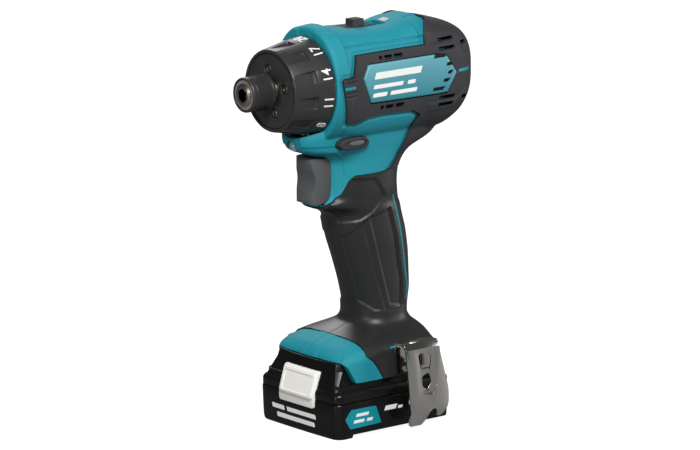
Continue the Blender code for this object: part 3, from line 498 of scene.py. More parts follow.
@dataclass(frozen=True)
class Relief:
    """A stretch of the side that lies deeper than the surface round it.

    Attributes:
        outline: Its edge in the side view, in millimetres.
        depth: How deep it lies; negative stands proud.
        edge: The width of the slope at its edge.
        inner: The least distance from the middle plane at which it works.
    """

    outline: Outline
    depth: float
    edge: float = 0.6
    inner: float = 6.0

    def press(self, thing: Thing) -> None:
        """Moves a dense piece's points along their normals, on both sides of the drill.

        Args:
            thing: The piece.
        """
        count = len(thing.data.vertices)
        points, normals = np.empty(count * 3), np.empty(count * 3)
        thing.data.vertices.foreach_get("co", points)
        thing.data.vertex_normals.foreach_get("vector", normals)
        points, normals = points.reshape(-1, 3) / MM, normals.reshape(-1, 3)
        share = np.clip(depth_inside(points[:, [0, 2]], self.outline) / self.edge + 0.5, 0, 1)
        share = share * share * (3 - 2 * share) * np.clip(np.abs(points[:, 1]) - self.inner, 0, 1)
        points -= normals * (share * self.depth)[:, None]
        thing.data.vertices.foreach_set("co", (points * MM).ravel())
        thing.data.update()


# Finishes


class Value:
    """A shader value that takes part in sums written as Python expressions."""

    def __init__(self, board: "Board", socket: bpy.types.NodeSocket) -> None:
        """Wraps an output socket of a node on a board."""
        self.board = board
        self.socket = socket

    def maths(self, operation: str, *values: "Value | float") -> "Value":
        """Adds a Math node and gives its result."""
        given = {i: value for i, value in enumerate(values)}
        return self.board.node("ShaderNodeMath", {"operation": operation}, given)[0]

    def __add__(self, other: "Value | float") -> "Value":
        """The sum."""
        return self.maths("ADD", self, other)

    __radd__ = __add__

    def __sub__(self, other: "Value | float") -> "Value":
        """The difference."""
        return self.maths("SUBTRACT", self, other)

    def __rsub__(self, other: "Value | float") -> "Value":
        """The difference, the other way round."""
        return self.maths("SUBTRACT", other, self)

    def __mul__(self, other: "Value | float") -> "Value":
        """The product."""
        return self.maths("MULTIPLY", self, other)

    __rmul__ = __mul__

    def clamped(self) -> "Value":
        """The value kept from 0 to 1."""
        return self.maths("MINIMUM", self.maths("MAXIMUM", self, 0.0), 1.0)


@dataclass
class Board:
    """The nodes of one material."""

    tree: bpy.types.NodeTree

    def node(self, kind: str, settings: dict, given: dict) -> list[Value]:
        """Adds a node.

        Args:
            kind: The node's type.
            settings: Its properties, which are set first. A ramp's stops go under "stops".
            given: What each input takes, by the input's name or number: a value or a link.

        Returns:
            The node's outputs.
        """
        node = self.tree.nodes.new(kind)
        for key, value in settings.items():
            if key != "stops":
                setattr(node, key, value)
                continue
            stops = node.color_ramp.elements
            for i, (position, colour) in enumerate(value):
                stop = stops[i] if i < 2 else stops.new(position)
                stop.position, stop.color = position, colour
        for key, value in given.items():
            if isinstance(value, Value):
                self.tree.links.new(value.socket, node.inputs[key])
            else:
                node.inputs[key].default_value = value
        return [Value(self, socket) for socket in node.outputs]

    def here(self) -> Value:
        """Object coordinates."""
        return self.node("ShaderNodeTexCoord", {}, {})[3]

    def axes(self) -> list[Value]:
        """The object coordinates' X, Y and Z."""
        return self.node("ShaderNodeSeparateXYZ", {}, {0: self.here()})

    def place(self, stretch: tuple[float, float, float] = (1.0, 1.0, 1.0)) -> Value:
        """Object coordinates, stretched along the axes."""
        return self.node("ShaderNodeMapping", {}, {"Vector": self.here(), "Scale": stretch})[0]

    def camera_ray(self) -> Value:
        """1 where the camera looks straight at the surface, and 0 for reflections and light."""
        return self.node("ShaderNodeLightPath", {}, {})[0]

    def noise(self, per_metre: float, detail: float = 2.0,
              stretch: tuple[float, float, float] = (1.0, 1.0, 1.0)) -> Value:
        """Noise from 0 to 1 with so many features to a metre."""
        given = {"Vector": self.place(stretch), "Scale": per_metre, "Detail": detail}
        return self.node("ShaderNodeTexNoise", {}, given)[0]

    def blend(self, share: "Value | float", first: tuple, second: tuple) -> Value:
        """A colour between two, by a share from 0 to 1."""
        given = {0: share, 6: (*first, 1.0), 7: (*second, 1.0)}
        return self.node("ShaderNodeMix", {"data_type": "RGBA"}, given)[2]


@dataclass(frozen=True)
class Finish:
    """A moulded, painted or metal surface.

    Attributes:
        name: The material's name.
        slot: The record's material slot; not used.
        colour: Its linear colour.
        roughness: Its mean roughness.
        metallic: 1 for metal.
        coat: The weight of a clear gloss layer.
        specular: The specular level.
        grain: Grain features to a metre.
        grain_depth: The grain's depth in millimetres.
        mottle: How much the colour varies, from 0 to 1.
        streak: How far the grain is stretched along X, Y and Z; 1 is even.
        edge: The radius of softened edges in millimetres.
        light: The strength of its own light.
    """

    name: str
    slot: str
    colour: tuple[float, float, float]
    roughness: float = 0.45
    metallic: float = 0.0
    coat: float = 0.0
    specular: float = 0.5
    grain: float = 2600.0
    grain_depth: float = 0.012
    mottle: float = 0.08
    streak: tuple[float, float, float] = (1.0, 1.0, 1.0)
    edge: float = 0.35
    light: float = 0.0

    def shade(self, board: Board) -> Value:
        """The colour over the surface: broad mottling and fine specks.

        Args:
            board: The material's nodes.

        Returns:
            The colour.
        """
        broad = board.noise(38.0, 3.0)
        fine = board.noise(self.grain, 1.0, self.streak)
        share = (broad * 0.6 + fine * 0.4).clamped()
        dark = tuple(c * (1 - self.mottle) for c in self.colour)
        pale = tuple(min(c * (1 + self.mottle) + self.mottle * 0.004, 1.0) for c in self.colour)
        return board.blend(share, dark, pale)

    def material(self) -> bpy.types.Material:
        """Makes the material, or gives the one made before.

        Returns:
            The material.
        """
        if self.name in bpy.data.materials:
            return bpy.data.materials[self.name]
        material = bpy.data.materials.new(self.name)
        material.use_nodes = True
        board = Board(material.node_tree)
        shader = material.node_tree.nodes["Principled BSDF"]
        smudges = board.noise(55.0, 4.0)
        grain = board.noise(self.grain, 2.0, self.streak)
        roughness = ((smudges - 0.5) * 0.22 + (grain - 0.5) * 0.12 + self.roughness).clamped()
        normal = board.node("ShaderNodeBevel", {"samples": 4}, {"Radius": self.edge * MM})[0]
        height = {"Height": grain, "Distance": self.grain_depth * MM, "Strength": 1.0,
                  "Normal": normal}
        bump = board.node("ShaderNodeBump", {}, height)[0]
        links = {"Base Color": self.shade(board), "Roughness": roughness, "Normal": bump}
        for key, value in links.items():
            material.node_tree.links.new(value.socket, shader.inputs[key])
        plain = {"Metallic": self.metallic, "Coat Weight": self.coat, "Coat Roughness": 0.12,
                 "Specular IOR Level": self.specular, "Emission Strength": self.light}
        for key, value in plain.items():
            shader.inputs[key].default_value = value
        if self.light:
            shader.inputs["Emission Color"].default_value = (*self.colour, 1.0)
        return material


@dataclass(frozen=True)
class BadgeFinish(Finish):
    """A label plate whose colour grows paler towards its top edge.

    Attributes:
        pale: Its colour at the top.
        low: The height at which it starts to grow paler, in millimetres.
        high: The height at which it is palest.
    """

    pale: tuple[float, float, float] = (0.14, 0.38, 0.44)
    low: float = 165.0
    high: float = 192.0

    def shade(self, board: Board) -> Value:
        """The plate's colour from its lower to its upper edge, with fine metal flakes.

        Args:
            board: The material's nodes.

        Returns:
            The colour.
        """
        height = board.axes()[2]
        rise = (height - self.low * MM) * (1 / ((self.high - self.low) * MM))
        flakes = board.noise(self.grain, 1.0) - 0.5
        return board.blend((rise + flakes * 0.25).clamped(), self.colour, self.pale)


@dataclass(frozen=True)
class BoreFinish(Finish):
    """Bright steel with painted shade inside its hexagonal bore.

    Attributes:
        mouth: Where the painted shade starts along X, in millimetres.
        radius: The painted shade's radius.
        height: The height of the bore's axis.
    """

    mouth: float = -78.3
    radius: float = 3.9
    height: float = AXIS_Z

    def shade(self, board: Board) -> Value:
        """The steel's colour, with painted shade near the axis behind the mouth.

        Args:
            board: The material's nodes.

        Returns:
            The colour.
        """
        x, y, z = board.axes()
        rise = z - self.height * MM
        away = y.maths("SQRT", y * y + rise * rise)
        painted_shade_near_axis = ((self.radius * MM - away) * (1 / (0.1 * MM))).clamped()
        behind = ((x - self.mouth * MM) * (1 / (0.8 * MM))).clamped()
        # Painted shade: near black inside the bore, where shade falls.
        return board.blend(painted_shade_near_axis * behind, self.colour, (0.004, 0.004, 0.004))


TEAL = Finish("teal_nylon", "teal_nylon", (0.0, 0.25, 0.318), 0.36, specular=0.28)
STRIP = Finish("teal_strip", "teal_nylon", (0.0, 0.24, 0.3), 0.42, specular=0.3)
BLACK = Finish("black_nylon", "black_nylon", (0.03, 0.03, 0.03), 0.4, specular=0.4)
RING_BLACK = Finish("ring_nylon", "black_nylon", (0.027, 0.027, 0.026), 0.38, specular=0.45)
GLOSS_BLACK = Finish("battery_nylon", "black_nylon", (0.004, 0.004, 0.004), 0.3, coat=0.08,
                     specular=0.25, grain_depth=0.006)
RUBBER = Finish("soft_grip", "soft_elastomer", (0.016, 0.0165, 0.0165), 0.42, specular=0.4,
                grain=1900.0, grain_depth=0.02)
TRIGGER_GREY = Finish("trigger_nylon", "black_nylon", (0.075, 0.077, 0.08), 0.42)
BADGE = BadgeFinish("badge_plate", "label_print", (0.0, 0.17, 0.22), 0.32, specular=0.6,
                    grain=5200.0, grain_depth=0.004)
WHITE_PRINT = Finish("white_print", "label_print", (0.78, 0.79, 0.78), 0.45, mottle=0.02, edge=0.1)
GREY_MARK = Finish("grey_mark", "black_nylon", (0.38, 0.39, 0.38), 0.5, edge=0.15)
# Grey for the painted highlight on the direction button's glossy face.
KEY_PAINTED_HIGHLIGHT = Finish("key_plate", "black_nylon", (0.1, 0.1, 0.1), 0.3, coat=0.3, edge=0.15)
# Near black for the painted shade inside the badge's slots.
SLOT_PAINTED_SHADE = Finish("slot_shade", "black_nylon", (0.006, 0.006, 0.006), 0.6, specular=0.2)
LATCH_WHITE = Finish("latch_white", "latch_white", (0.84, 0.82, 0.74), 0.42, mottle=0.03)
STEEL = Finish("bright_steel", "bright_steel", (0.5, 0.46, 0.38), 0.34, metallic=1.0,
               grain=3000.0, grain_depth=0.004, edge=0.15)
# The nose's steel, with painted shade inside its bore.
NOSE_STEEL_PAINTED_SHADE = BoreFinish("nose_steel", "bright_steel", (0.36, 0.32, 0.26), 0.34, metallic=1.0,
                        grain=3000.0, grain_depth=0.004, edge=0.15)
SCREW_STEEL = Finish("screw_steel", "bright_steel", (0.16, 0.16, 0.16), 0.38, metallic=1.0,
                     grain=3000.0, grain_depth=0.006, edge=0.12)
DARK_STEEL = Finish("dark_steel", "dark_steel", (0.3, 0.3, 0.31), 0.38, metallic=1.0,
                    streak=(0.15, 1.0, 1.0))
NICKEL = Finish("nickel_steel", "nickel_steel", (0.46, 0.405, 0.34), 0.4, metallic=1.0,
                grain=1600.0, grain_depth=0.012, streak=(1.0, 1.0, 0.2), mottle=0.14, edge=0.3)
ALLOY = Finish("cast_alloy", "cast_alloy", (0.42, 0.43, 0.44), 0.45, metallic=1.0,
               grain=1400.0, grain_depth=0.02)
COPPER = Finish("copper", "copper", (0.72, 0.32, 0.16), 0.35, metallic=1.0,
                streak=(1.0, 0.1, 0.1), grain=2200.0, grain_depth=0.04)
FERRITE = Finish("ferrite", "ferrite", (0.05, 0.05, 0.055), 0.7, grain=900.0, grain_depth=0.03)
CELL_WRAP = Finish("cell_wrap", "cell_wrap", (0.06, 0.2, 0.12), 0.3)
LENS = Finish("clear_lens", "clear_lens", (0.006, 0.007, 0.008), 0.5, specular=0.05, mottle=0.02,
              grain_depth=0.0)
LAMP = Finish("lamp_dot", "clear_lens", (0.7, 0.72, 0.7), 0.3, light=0.2, mottle=0.01)


def dress(piece: Thing, finish: Finish, body: str, angle: float = 34.0) -> Thing:
    """Gives a piece its finish and shading and lets it ride on a body.

    Args:
        piece: The piece.
        finish: Its finish.
        body: The CAD body that it moves with.
        angle: Edges sharper than this stay sharp, in degrees.

    Returns:
        The same piece.
    """
    piece.data.materials.clear()
    piece.data.materials.append(finish.material())
    piece.data.shade_smooth()
    piece.data.set_sharp_from_angle(angle=math.radians(angle))
    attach(piece, body)
    log.info("%s: %d faces, rides on %s", piece.name, len(piece.data.polygons), body)
    return piece


# Geometry Nodes for what repeats


class Repeater:
    """Geometry Nodes that repeat one item in a row, each copy turned a step further about X."""

    def __init__(self) -> None:
        """Builds the tree with its named inputs."""
        tree = bpy.data.node_groups.new("Repeat item", "GeometryNodeTree")
        self.tree = tree
        inputs = (
            ("Item", "NodeSocketObject"), ("Count", "NodeSocketInt"),
            ("Start", "NodeSocketVector"), ("Step", "NodeSocketVector"),
            ("First Turn", "NodeSocketFloat"), ("Turn", "NodeSocketFloat"),
            ("Finish", "NodeSocketMaterial"),
        )
        self.sockets = {
            name: tree.interface.new_socket(name=name, in_out="INPUT", socket_type=kind).identifier
            for name, kind in inputs
        }
        tree.interface.new_socket(name="Geometry", in_out="OUTPUT",
                                  socket_type="NodeSocketGeometry")
        entry, leave = tree.nodes.new("NodeGroupInput"), tree.nodes.new("NodeGroupOutput")
        line = tree.nodes.new("GeometryNodeMeshLine")
        line.mode = "OFFSET"
        item = tree.nodes.new("GeometryNodeObjectInfo")
        index = tree.nodes.new("GeometryNodeInputIndex")
        turn = tree.nodes.new("ShaderNodeMath")
        turn.operation = "MULTIPLY_ADD"
        spin = tree.nodes.new("ShaderNodeCombineXYZ")
        copies = tree.nodes.new("GeometryNodeInstanceOnPoints")
        realize = tree.nodes.new("GeometryNodeRealizeInstances")
        paint = tree.nodes.new("GeometryNodeSetMaterial")
        for start, end in (
            (entry.outputs["Item"], item.inputs["Object"]),
            (entry.outputs["Count"], line.inputs["Count"]),
            (entry.outputs["Start"], line.inputs["Start Location"]),
            (entry.outputs["Step"], line.inputs["Offset"]),
            (index.outputs[0], turn.inputs[0]),
            (entry.outputs["Turn"], turn.inputs[1]),
            (entry.outputs["First Turn"], turn.inputs[2]),
            (turn.outputs[0], spin.inputs["X"]),
            (line.outputs["Mesh"], copies.inputs["Points"]),
            (item.outputs["Geometry"], copies.inputs["Instance"]),
            (spin.outputs[0], copies.inputs["Rotation"]),
            (copies.outputs[0], realize.inputs[0]),
            (realize.outputs[0], paint.inputs["Geometry"]),
            (entry.outputs["Finish"], paint.inputs["Material"]),
            (paint.outputs[0], leave.inputs[0]),
        ):
            tree.links.new(start, end)

    def repeat(self, name: str, item: Thing, finish: Finish, **values: object) -> Thing:
        """Repeats an item, which is used up, and gives one plain mesh.

        Args:
            name: The new piece's name.
            item: What is repeated, drawn about the first copy's place.
            finish: The copies' finish.
            values: The tree's other inputs, by name with _ for a space. Lengths are in millimetres.

        Returns:
            The piece, with its faces in place.
        """
        piece = new_thing(name, bpy.data.meshes.new(name))
        modifier = piece.modifiers.new("Repeat", "NODES")
        modifier.node_group = self.tree
        modifier[self.sockets["Item"]] = item
        modifier[self.sockets["Finish"]] = finish.material()
        for key, value in values.items():
            if key in ("start", "step"):
                value = [v * MM for v in value]
            modifier[self.sockets[key.replace("_", " ").title()]] = value
        settled(piece)
        bpy.data.objects.remove(item)
        return piece


class Fastener:
    """Geometry Nodes that set one item on each point of a mesh."""

    def __init__(self) -> None:
        """Builds the tree with its named inputs."""
        tree = bpy.data.node_groups.new("Set item on points", "GeometryNodeTree")
        self.tree = tree
        tree.interface.new_socket(name="Places", in_out="INPUT", socket_type="NodeSocketGeometry")
        self.sockets = {
            name: tree.interface.new_socket(name=name, in_out="INPUT", socket_type=kind).identifier
            for name, kind in (("Item", "NodeSocketObject"), ("Seed", "NodeSocketInt"),
                               ("Turn", "NodeSocketVector"), ("Finish", "NodeSocketMaterial"))
        }
        tree.interface.new_socket(name="Geometry", in_out="OUTPUT",
                                  socket_type="NodeSocketGeometry")
        entry, leave = tree.nodes.new("NodeGroupInput"), tree.nodes.new("NodeGroupOutput")
        item = tree.nodes.new("GeometryNodeObjectInfo")
        chance = tree.nodes.new("FunctionNodeRandomValue")
        chance.data_type = "FLOAT_VECTOR"
        copies = tree.nodes.new("GeometryNodeInstanceOnPoints")
        realize = tree.nodes.new("GeometryNodeRealizeInstances")
        paint = tree.nodes.new("GeometryNodeSetMaterial")
        for start, end in (
            (entry.outputs["Item"], item.inputs["Object"]),
            (entry.outputs["Places"], copies.inputs["Points"]),
            (item.outputs["Geometry"], copies.inputs["Instance"]),
            (entry.outputs["Seed"], chance.inputs["Seed"]),
            (entry.outputs["Turn"], chance.inputs["Max"]),
            (chance.outputs["Value"], copies.inputs["Rotation"]),
            (copies.outputs[0], realize.inputs[0]),
            (realize.outputs[0], paint.inputs["Geometry"]),
            (entry.outputs["Finish"], paint.inputs["Material"]),
            (paint.outputs[0], leave.inputs[0]),
        ):
            tree.links.new(start, end)

    def fasten(self, name: str, item: Thing, finish: Finish, places: list[Vector],
               turn: tuple[float, float, float]) -> Thing:
        """Sets an item, which is used up, at each place.

        Args:
            name: The new piece's name.
            item: What is set, drawn about the origin.
            finish: Its finish.
            places: Where copies go, in metres.
            turn: The most that each copy may be turned at random about X, Y and Z, in radians.

        Returns:
            The piece.
        """
        mesh = bpy.data.meshes.new(name)
        mesh.from_pydata(places, [], [])
        piece = new_thing(name, mesh)
        modifier = piece.modifiers.new("Fasten", "NODES")
        modifier.node_group = self.tree
        modifier[self.sockets["Item"]] = item
        modifier[self.sockets["Seed"]] = SEED
        modifier[self.sockets["Turn"]] = list(turn)
        modifier[self.sockets["Finish"]] = finish.material()
        settled(piece)
        bpy.data.objects.remove(item)
        return piece


def screw_head(axis: str, sign: float, radius: float, deep: float) -> Thing:
    """A pan screw head with a cross recess, its underside at the origin.

    Args:
        axis: The axis that it stands along.
        sign: Which way it faces along the axis.
        radius: The head's radius.
        deep: The head's height.

    Returns:
        The head.
    """
    rings = []
    for reach, height in ((1.0, -0.4), (1.0, 0.35), (0.93, 0.7), (0.75, 0.92), (0.45, 1.0)):
        rings.append([(a, b, height * deep) for a, b in circle(radius * reach, 24)])
    head = loft("head", rings)
    arm, wide = radius * 0.62, radius * 0.16
    cross = join(box("cross", (-arm, -wide, deep * 0.35), (arm, wide, deep * 2)),
                 box("cross", (-wide, -arm, deep * 0.35), (wide, arm, deep * 2)),
                 solver=Solver.FINE)
    cut(head, cross, solver=Solver.FINE)
    target = {"X": Vector((sign, 0, 0)), "Y": Vector((0, sign, 0))}[axis]
    head.data.transform(target.to_track_quat("Z", "Y").to_matrix().to_4x4())
    return head


# The moulded body

# The badge plates' edge, which their recess in the body follows
BADGE_EDGE: Outline = shifted([
    (-17.0, 11.3), (-20.4, 4.6), (-15.8, -8.2), (27.9, -8.8), (33.9, -8.6), (40.0, 0.9),
    (33.3, 10.4), (26.7, 11.5),
], 0, AXIS_Z)


@dataclass
class Body:
    """The two moulded halves with their rear cover and soft grip.

    Attributes:
        wall: From the outside to the cavity.
        skin: The thickness of the cover and the grip.
        proud: How far the cover stands out of the teal body.
        soft_proud: How far the grip does.
        cell: The size of the outer surface's mesh cells.
        head: The head as (x, depth below the axis, height above it, half width, power).
        neck: The body below it as (depth below the axis, front x, rear x, half width, power).
        foot: The foot as (height above the base, front x, rear x, half width, power).
        cover: The rear cover's edge in the side view.
        notch: What is left out of the cover on the crest, seen from above.
        grip: The soft grip's edge in the side view.
        ticks: The teal lines in the cover.
        lines: The teal lines in the grip.
    """

    wall: float = 3.4
    skin: float = 1.6
    proud: float = 0.9
    soft_proud: float = 0.6
    cell: float = 0.6
    head: Rows = (
        (-37.2, 29.4, 28.8, 25.1, 2.2), (-35.8, 30.0, 30.0, 25.5, 2.2),
        (-29.3, 30.4, 30.4, 25.6, 2.3), (-27.4, 30.4, 28.6, 24.5, 2.6),
        (-15.8, 31.0, 27.4, 24.5, 3.0), (-2.8, 31.0, 26.9, 24.5, 3.0),
        (8.2, 31.0, 27.1, 24.5, 3.0), (14.2, 30.6, 28.5, 24.5, 2.9),
        (18.2, 30.2, 29.4, 24.5, 2.8), (23.2, 29.8, 30.2, 24.5, 2.8),
        (27.2, 29.6, 29.8, 24.5, 2.9), (31.2, 29.2, 27.6, 24.5, 3.0),
        (36.8, 28.2, 26.4, 24.1, 3.0), (45.3, 24.6, 23.8, 22.7, 3.0),
        (51.8, 19.8, 20.6, 19.5, 3.0), (56.8, 14.0, 15.2, 14.5, 3.0),
        (59.8, 8.0, 10.0, 8.5, 3.0), (60.8, 3.0, 5.0, 3.4, 3.0),
    )
    neck: Rows = (
        (16.0, -38.4, 46.0, 20.5, 2.8), (25.9, -48.6, 43.5, 18.6, 2.6),
        (31.0, -47.2, 38.5, 18.0, 2.6), (33.0, -45.0, 34.6, 17.8, 2.6),
        (35.0, -39.4, 28.4, 17.6, 2.6), (36.8, -34.6, 23.4, 17.5, 2.6),
        (40.0, -31.4, 18.8, 17.4, 2.6), (46.0, -30.9, 15.0, 17.4, 2.6),
        (53.5, -31.2, 14.2, 17.4, 2.6), (57.5, -32.2, 14.9, 17.2, 2.5),
        (61.0, -36.7, 16.0, 16.8, 2.4), (63.0, -35.4, 16.3, 16.6, 2.4),
        (65.2, -29.0, 16.8, 16.5, 2.5), (68.0, -24.4, 17.2, 16.5, 2.5),
        (80.8, -21.2, 20.4, 16.5, 2.5),
    )
    foot: Rows = (
        (83.0, -16.4, 22.0, 16.0, 2.5), (70.0, -12.2, 22.1, 16.0, 2.5),
        (60.0, -10.0, 20.6, 15.9, 2.5), (55.5, -9.8, 20.2, 16.1, 2.5),
        (52.0, -11.2, 21.8, 17.5, 2.6), (49.4, -17.0, 24.6, 20.9, 2.8),
        (47.0, -26.4, 26.4, 25.0, 3.2), (43.8, -34.6, 27.0, 28.4, 4.0),
        (38.3, -38.5, 28.0, 30.6, 6.0), (28.0, -39.0, 28.6, 31.0, 7.0),
    )
    cover: Outline = field(default_factory=lambda: shifted([
        (-34.3, 5.0), (-33.2, 6.2), (-26.0, 6.2), (-23.3, 16.5), (21.2, 16.8), (21.2, 40.0),
        (90.0, 40.0), (90.0, -45.5), (3.8, -45.5), (7.1, -42.9), (11.1, -36.7), (15.4, -26.0),
        (18.0, -18.6), (12.1, -15.4), (-8.1, -14.8), (-17.1, -15.4), (-24.2, -18.1),
        (-30.0, -17.1),
    ], 0, AXIS_Z))
    notch: Outline = field(default_factory=lambda: [
        (0.0, -30.0), (21.2, -21.6), (33.0, -8.0), (33.0, 8.0), (21.2, 21.6), (0.0, 30.0),
    ])
    grip: Outline = field(default_factory=lambda: shifted([
        (80.0, -45.8), (3.6, -45.8), (-4.6, -46.5), (-19.4, -46.6), (-22.4, -48.9),
        (-25.6, -55.2), (-29.6, -59.6), (-35.8, -62.4), (-60.0, -62.4),
    ], 0, AXIS_Z) + [
        (-60.0, 50.0), (-25.0, 50.0), (-23.4, 46.0), (-23.4, 40.6), (-19.6, 37.7),
        (-15.7, 31.9), (-12.7, 27.0), (80.0, 27.0),
    ])
    ticks: list[Outline] = field(default_factory=lambda: [
        [(-33.4, 178.3), (-25.7, 178.0), (-25.7, 179.4), (-33.4, 179.7)],
        [(42.0, 178.2), (51.4, 178.2), (51.4, 179.8), (42.0, 179.8)],
    ])
    lines: list[Outline] = field(default_factory=lambda: [
        [(5.7, 118.3), (9.5, 102.2), (12.0, 88.8), (13.9, 75.4), (15.1, 70.0), (14.5, 62.2),
         (15.7, 62.2), (16.4, 70.0), (15.1, 75.4), (13.2, 88.8), (10.7, 102.2), (6.9, 118.3)],
        [(-8.0, 42.3), (13.0, 43.5), (13.0, 44.4), (-8.0, 43.2)],
    ])

    def inside(self, wall: float) -> Thing:
        """The room inside a wall, drawn coarsely."""
        return self.form(-wall, step=1000.0, count=24)

    def form(self, grow: float, step: float = 1.2, count: int = 96, below: float = 0.0) -> Thing:
        """The head and body joined, moved out by grow.

        Args:
            grow: How far the surface is moved out; negative moves it in.
            step: The widest spacing of the rings.
            count: The points in a ring.
            below: How far the underside is drawn past its face.

        Returns:
            The joined solid.
        """
        rings = []
        for x, drop, rise, wide, power in finer(self.head, step):
            x = x + grow if x > 0 else x
            tall = max((rise + drop) / 2 + grow, 0.6)
            oval = superellipse(max(wide + grow, 0.6), tall, power, count)
            middle = AXIS_Z + (rise - drop) / 2
            rings.append([(x, y, middle + z) for y, z in oval])
        rows = [(drop - AXIS_Z, *rest) for drop, *rest in self.neck]
        rows += [(-z, *rest) for z, *rest in self.foot]
        lower = []
        for fall, front, rear, wide, power in finer(tuple(rows), step):
            oval = superellipse((rear - front) / 2 + grow, wide + grow, power, count)
            lower.append([((front + rear) / 2 + x, y, -fall) for x, y in oval])
        lower.append([(x, y, z - max(below, 2.0 if grow < 0 else 0.01)) for x, y, z in lower[-1]])
        return join(loft("head", rings), loft("body", lower))

    def surface(self, name: str, grow: float, *reliefs: Relief) -> Thing:
        """The outer surface as a dense, softened solid with its reliefs pressed in.

        Args:
            name: The solid's name.
            grow: How far it is moved out.
            reliefs: What is pressed into its sides.

        Returns:
            The solid, cut off at the underside.
        """
        skin = remeshed(self.form(grow, below=6.0), self.cell, 2)
        skin.name = name
        for relief in reliefs:
            relief.press(skin)
        return cut(skin, box("under", (-90, -60, 0), (90, 60, FOOT_UNDER)))

    def region(self, outline: Outline, grow: float = 0.0) -> Thing:
        """A side view extruded across the whole width."""
        return prism("region", grown(outline, grow), "Y", -90.0, 90.0)

    def cover_region(self, grow: float) -> Thing:
        """What the rear cover takes up, cut back towards the crest."""
        notch = prism("notch", grown(self.notch, -grow), "Z", AXIS_Z + 16.8 + grow, AXIS_Z + 90)
        return cut(self.region(self.cover, grow), notch)

    def openings(self) -> list[Thing]:
        """What cuts both halves, apart from the cavity.

        Returns:
            The cutters.
        """
        button = shifted(superellipse(9.7, 3.4, 2.6, 48).tolist(), -22.4, 149.0)
        bay = [(-70, 38.3), (-36.5, 38.3), (-34.4, 36.2), (-30.2, 27), (-30.2, 10), (-70, 10)]
        return [
            rod("mouth", "X", RING_REAR - 8, RING_REAR + 30, 20.8, (0, AXIS_Z), 36),
            rod("ring_room", "X", -60.6, RING_REAR + GAP, 25.6, (0, AXIS_Z), 96),
            box("trigger_slot", (-60, -8.5, 116.6), (-20, 8.5, 141.5)),
            prism("button_slot", button, "Y", -60, 60),
            rod("lens_hole", "X", -70, -38, 3.2, (0, 147.6), 40),
            box("lever_pocket", (-15.8, -5.8, 202.4), (9.8, 5.8, 238)),
            box("stem_slot", (-8.3, -2.3, 195.8), (2.3, 2.3, 203.4)),
            prism("nose_room", bay, "Y", -60, 60),
            box("battery_bay", (-70, -20.8, 20), (24.6, 20.8, 38)),
        ]

    def slots(self, grow: float) -> list[Thing]:
        """The cooling slots through the cover, or the smaller ones through the body below.

        Args:
            grow: How much larger than the cover's slots they are.

        Returns:
            The cutters, for both sides.
        """
        cells = []
        for z, wide in ((191.6, 2.3), (166.4, 2.3)):
            for low, high in ((-9.8, -7.4), (-6.3, -1.0), (0.0, 5.7)):
                cells.append((low, high, z, wide))
        for z, low, high in ((196.2, 28.4, 40.0), (191.6, 28.6, 40.4), (166.6, 28.6, 39.6),
                             (163.0, 28.2, 38.6), (193.0, 44.6, 49.6), (165.0, 44.6, 49.6)):
            cells.append((low, high, z, 2.1))
        made = []
        for low, high, z, wide in cells:
            start, end = low - grow, high + grow
            floor, top = z - wide / 2 - grow, z + wide / 2 + grow
            outline = rounded([(start, floor), (end, floor), (end, top), (start, top)], 0.9, 4)
            for side in Side:
                near, far = sorted((side.value * 12.0, side.value * 60.0))
                made.append(prism("slot", outline, "Y", near, far))
        return made

    def inlays(self, name: str, shell: Thing, outlines: list[Outline]) -> list[Thing]:
        """Sets teal lines flush into both sides of a shell.

        Args:
            name: The pieces' name, to which the side is added.
            shell: The cover or the grip, which is cut where they lie.
            outlines: The lines in the side view.

        Returns:
            The lines, one piece for each side.
        """
        made = []
        for side in Side:
            near, far = sorted((side.value * 7.0, side.value * 60.0))
            bars = [prism(name, outline, "Y", near, far) for outline in outlines]
            keep = join(*bars) if len(bars) > 1 else bars[0]
            line = trim(copied(shell, f"{name}_{side.word}"), copied(keep, "keep"))
            cut(shell, keep)
            made.append(dress(line, STRIP, "housing"))
        return made

    def skins(self) -> tuple[Thing, Thing, Thing]:
        """Makes the outer surfaces, each with what is moulded into its sides.

        Returns:
            The body's surface, the grip's and the cover's.
        """
        thumb = [(-30, 131), (-21.3, 129.8), (-7, 128.4), (0.1, 118.3), (-8.4, 111.2),
                 (-15, 107.5), (-34, 104)]
        front_flat = [(-21.4, 98.4), (-14.4, 71.9), (-10.6, 63.5), (-5.4, 59.1), (1.8, 58.5),
                      (11.7, 59), (12, 72), (8, 96), (3.6, 112), (-9.6, 108.6), (-14.2, 105.7)]
        middle_flat = [(-14.2, 105.7), (0.5, 58.7), (11.7, 59), (12, 72), (8, 96), (3.6, 112),
                       (-9.6, 108.6)]
        rear_flat = [(-9.6, 108.6), (3.8, 61.3), (11.7, 59.6), (12, 72), (8, 96), (3.6, 112)]
        rim = [(-30.6, 144.1), (-25.5, 139.8), (-24.3, 131.9), (-25.7, 124.3), (-29.6, 118.2),
               (-36, 116), (-60, 117.9), (-60, 144.1)]
        band = Relief(grown(self.cover, 1.9), 0.7, 1.4)
        groove = Relief([(-28.3, 198.1), (22.8, 198.1), (22.8, 199.0), (-28.3, 199.0)], 0.8, 0.6)
        arm = Relief(rim, 0.7, 1.0)
        cap = Relief([(-60, 36.9), (-38, 36.9), (-33, 43.0), (-22.9, 43.7), (-22.9, 60),
                      (-60, 60)], 0.45, 0.7)
        collar = Relief([(-60, 148), (-29.2, 148), (-29.2, 205.5), (-60, 205.5)], -0.5, 0.5)
        skin = self.surface("skin", 0.0, band, groove, arm, cap, collar)
        grip_skin = self.surface("grip_skin", self.soft_proud, Relief(thumb, 0.9, 1.1),
                                 Relief(front_flat, 0.6, 0.8), Relief(middle_flat, 0.45, 0.7),
                                 Relief(rear_flat, 0.45, 0.7))
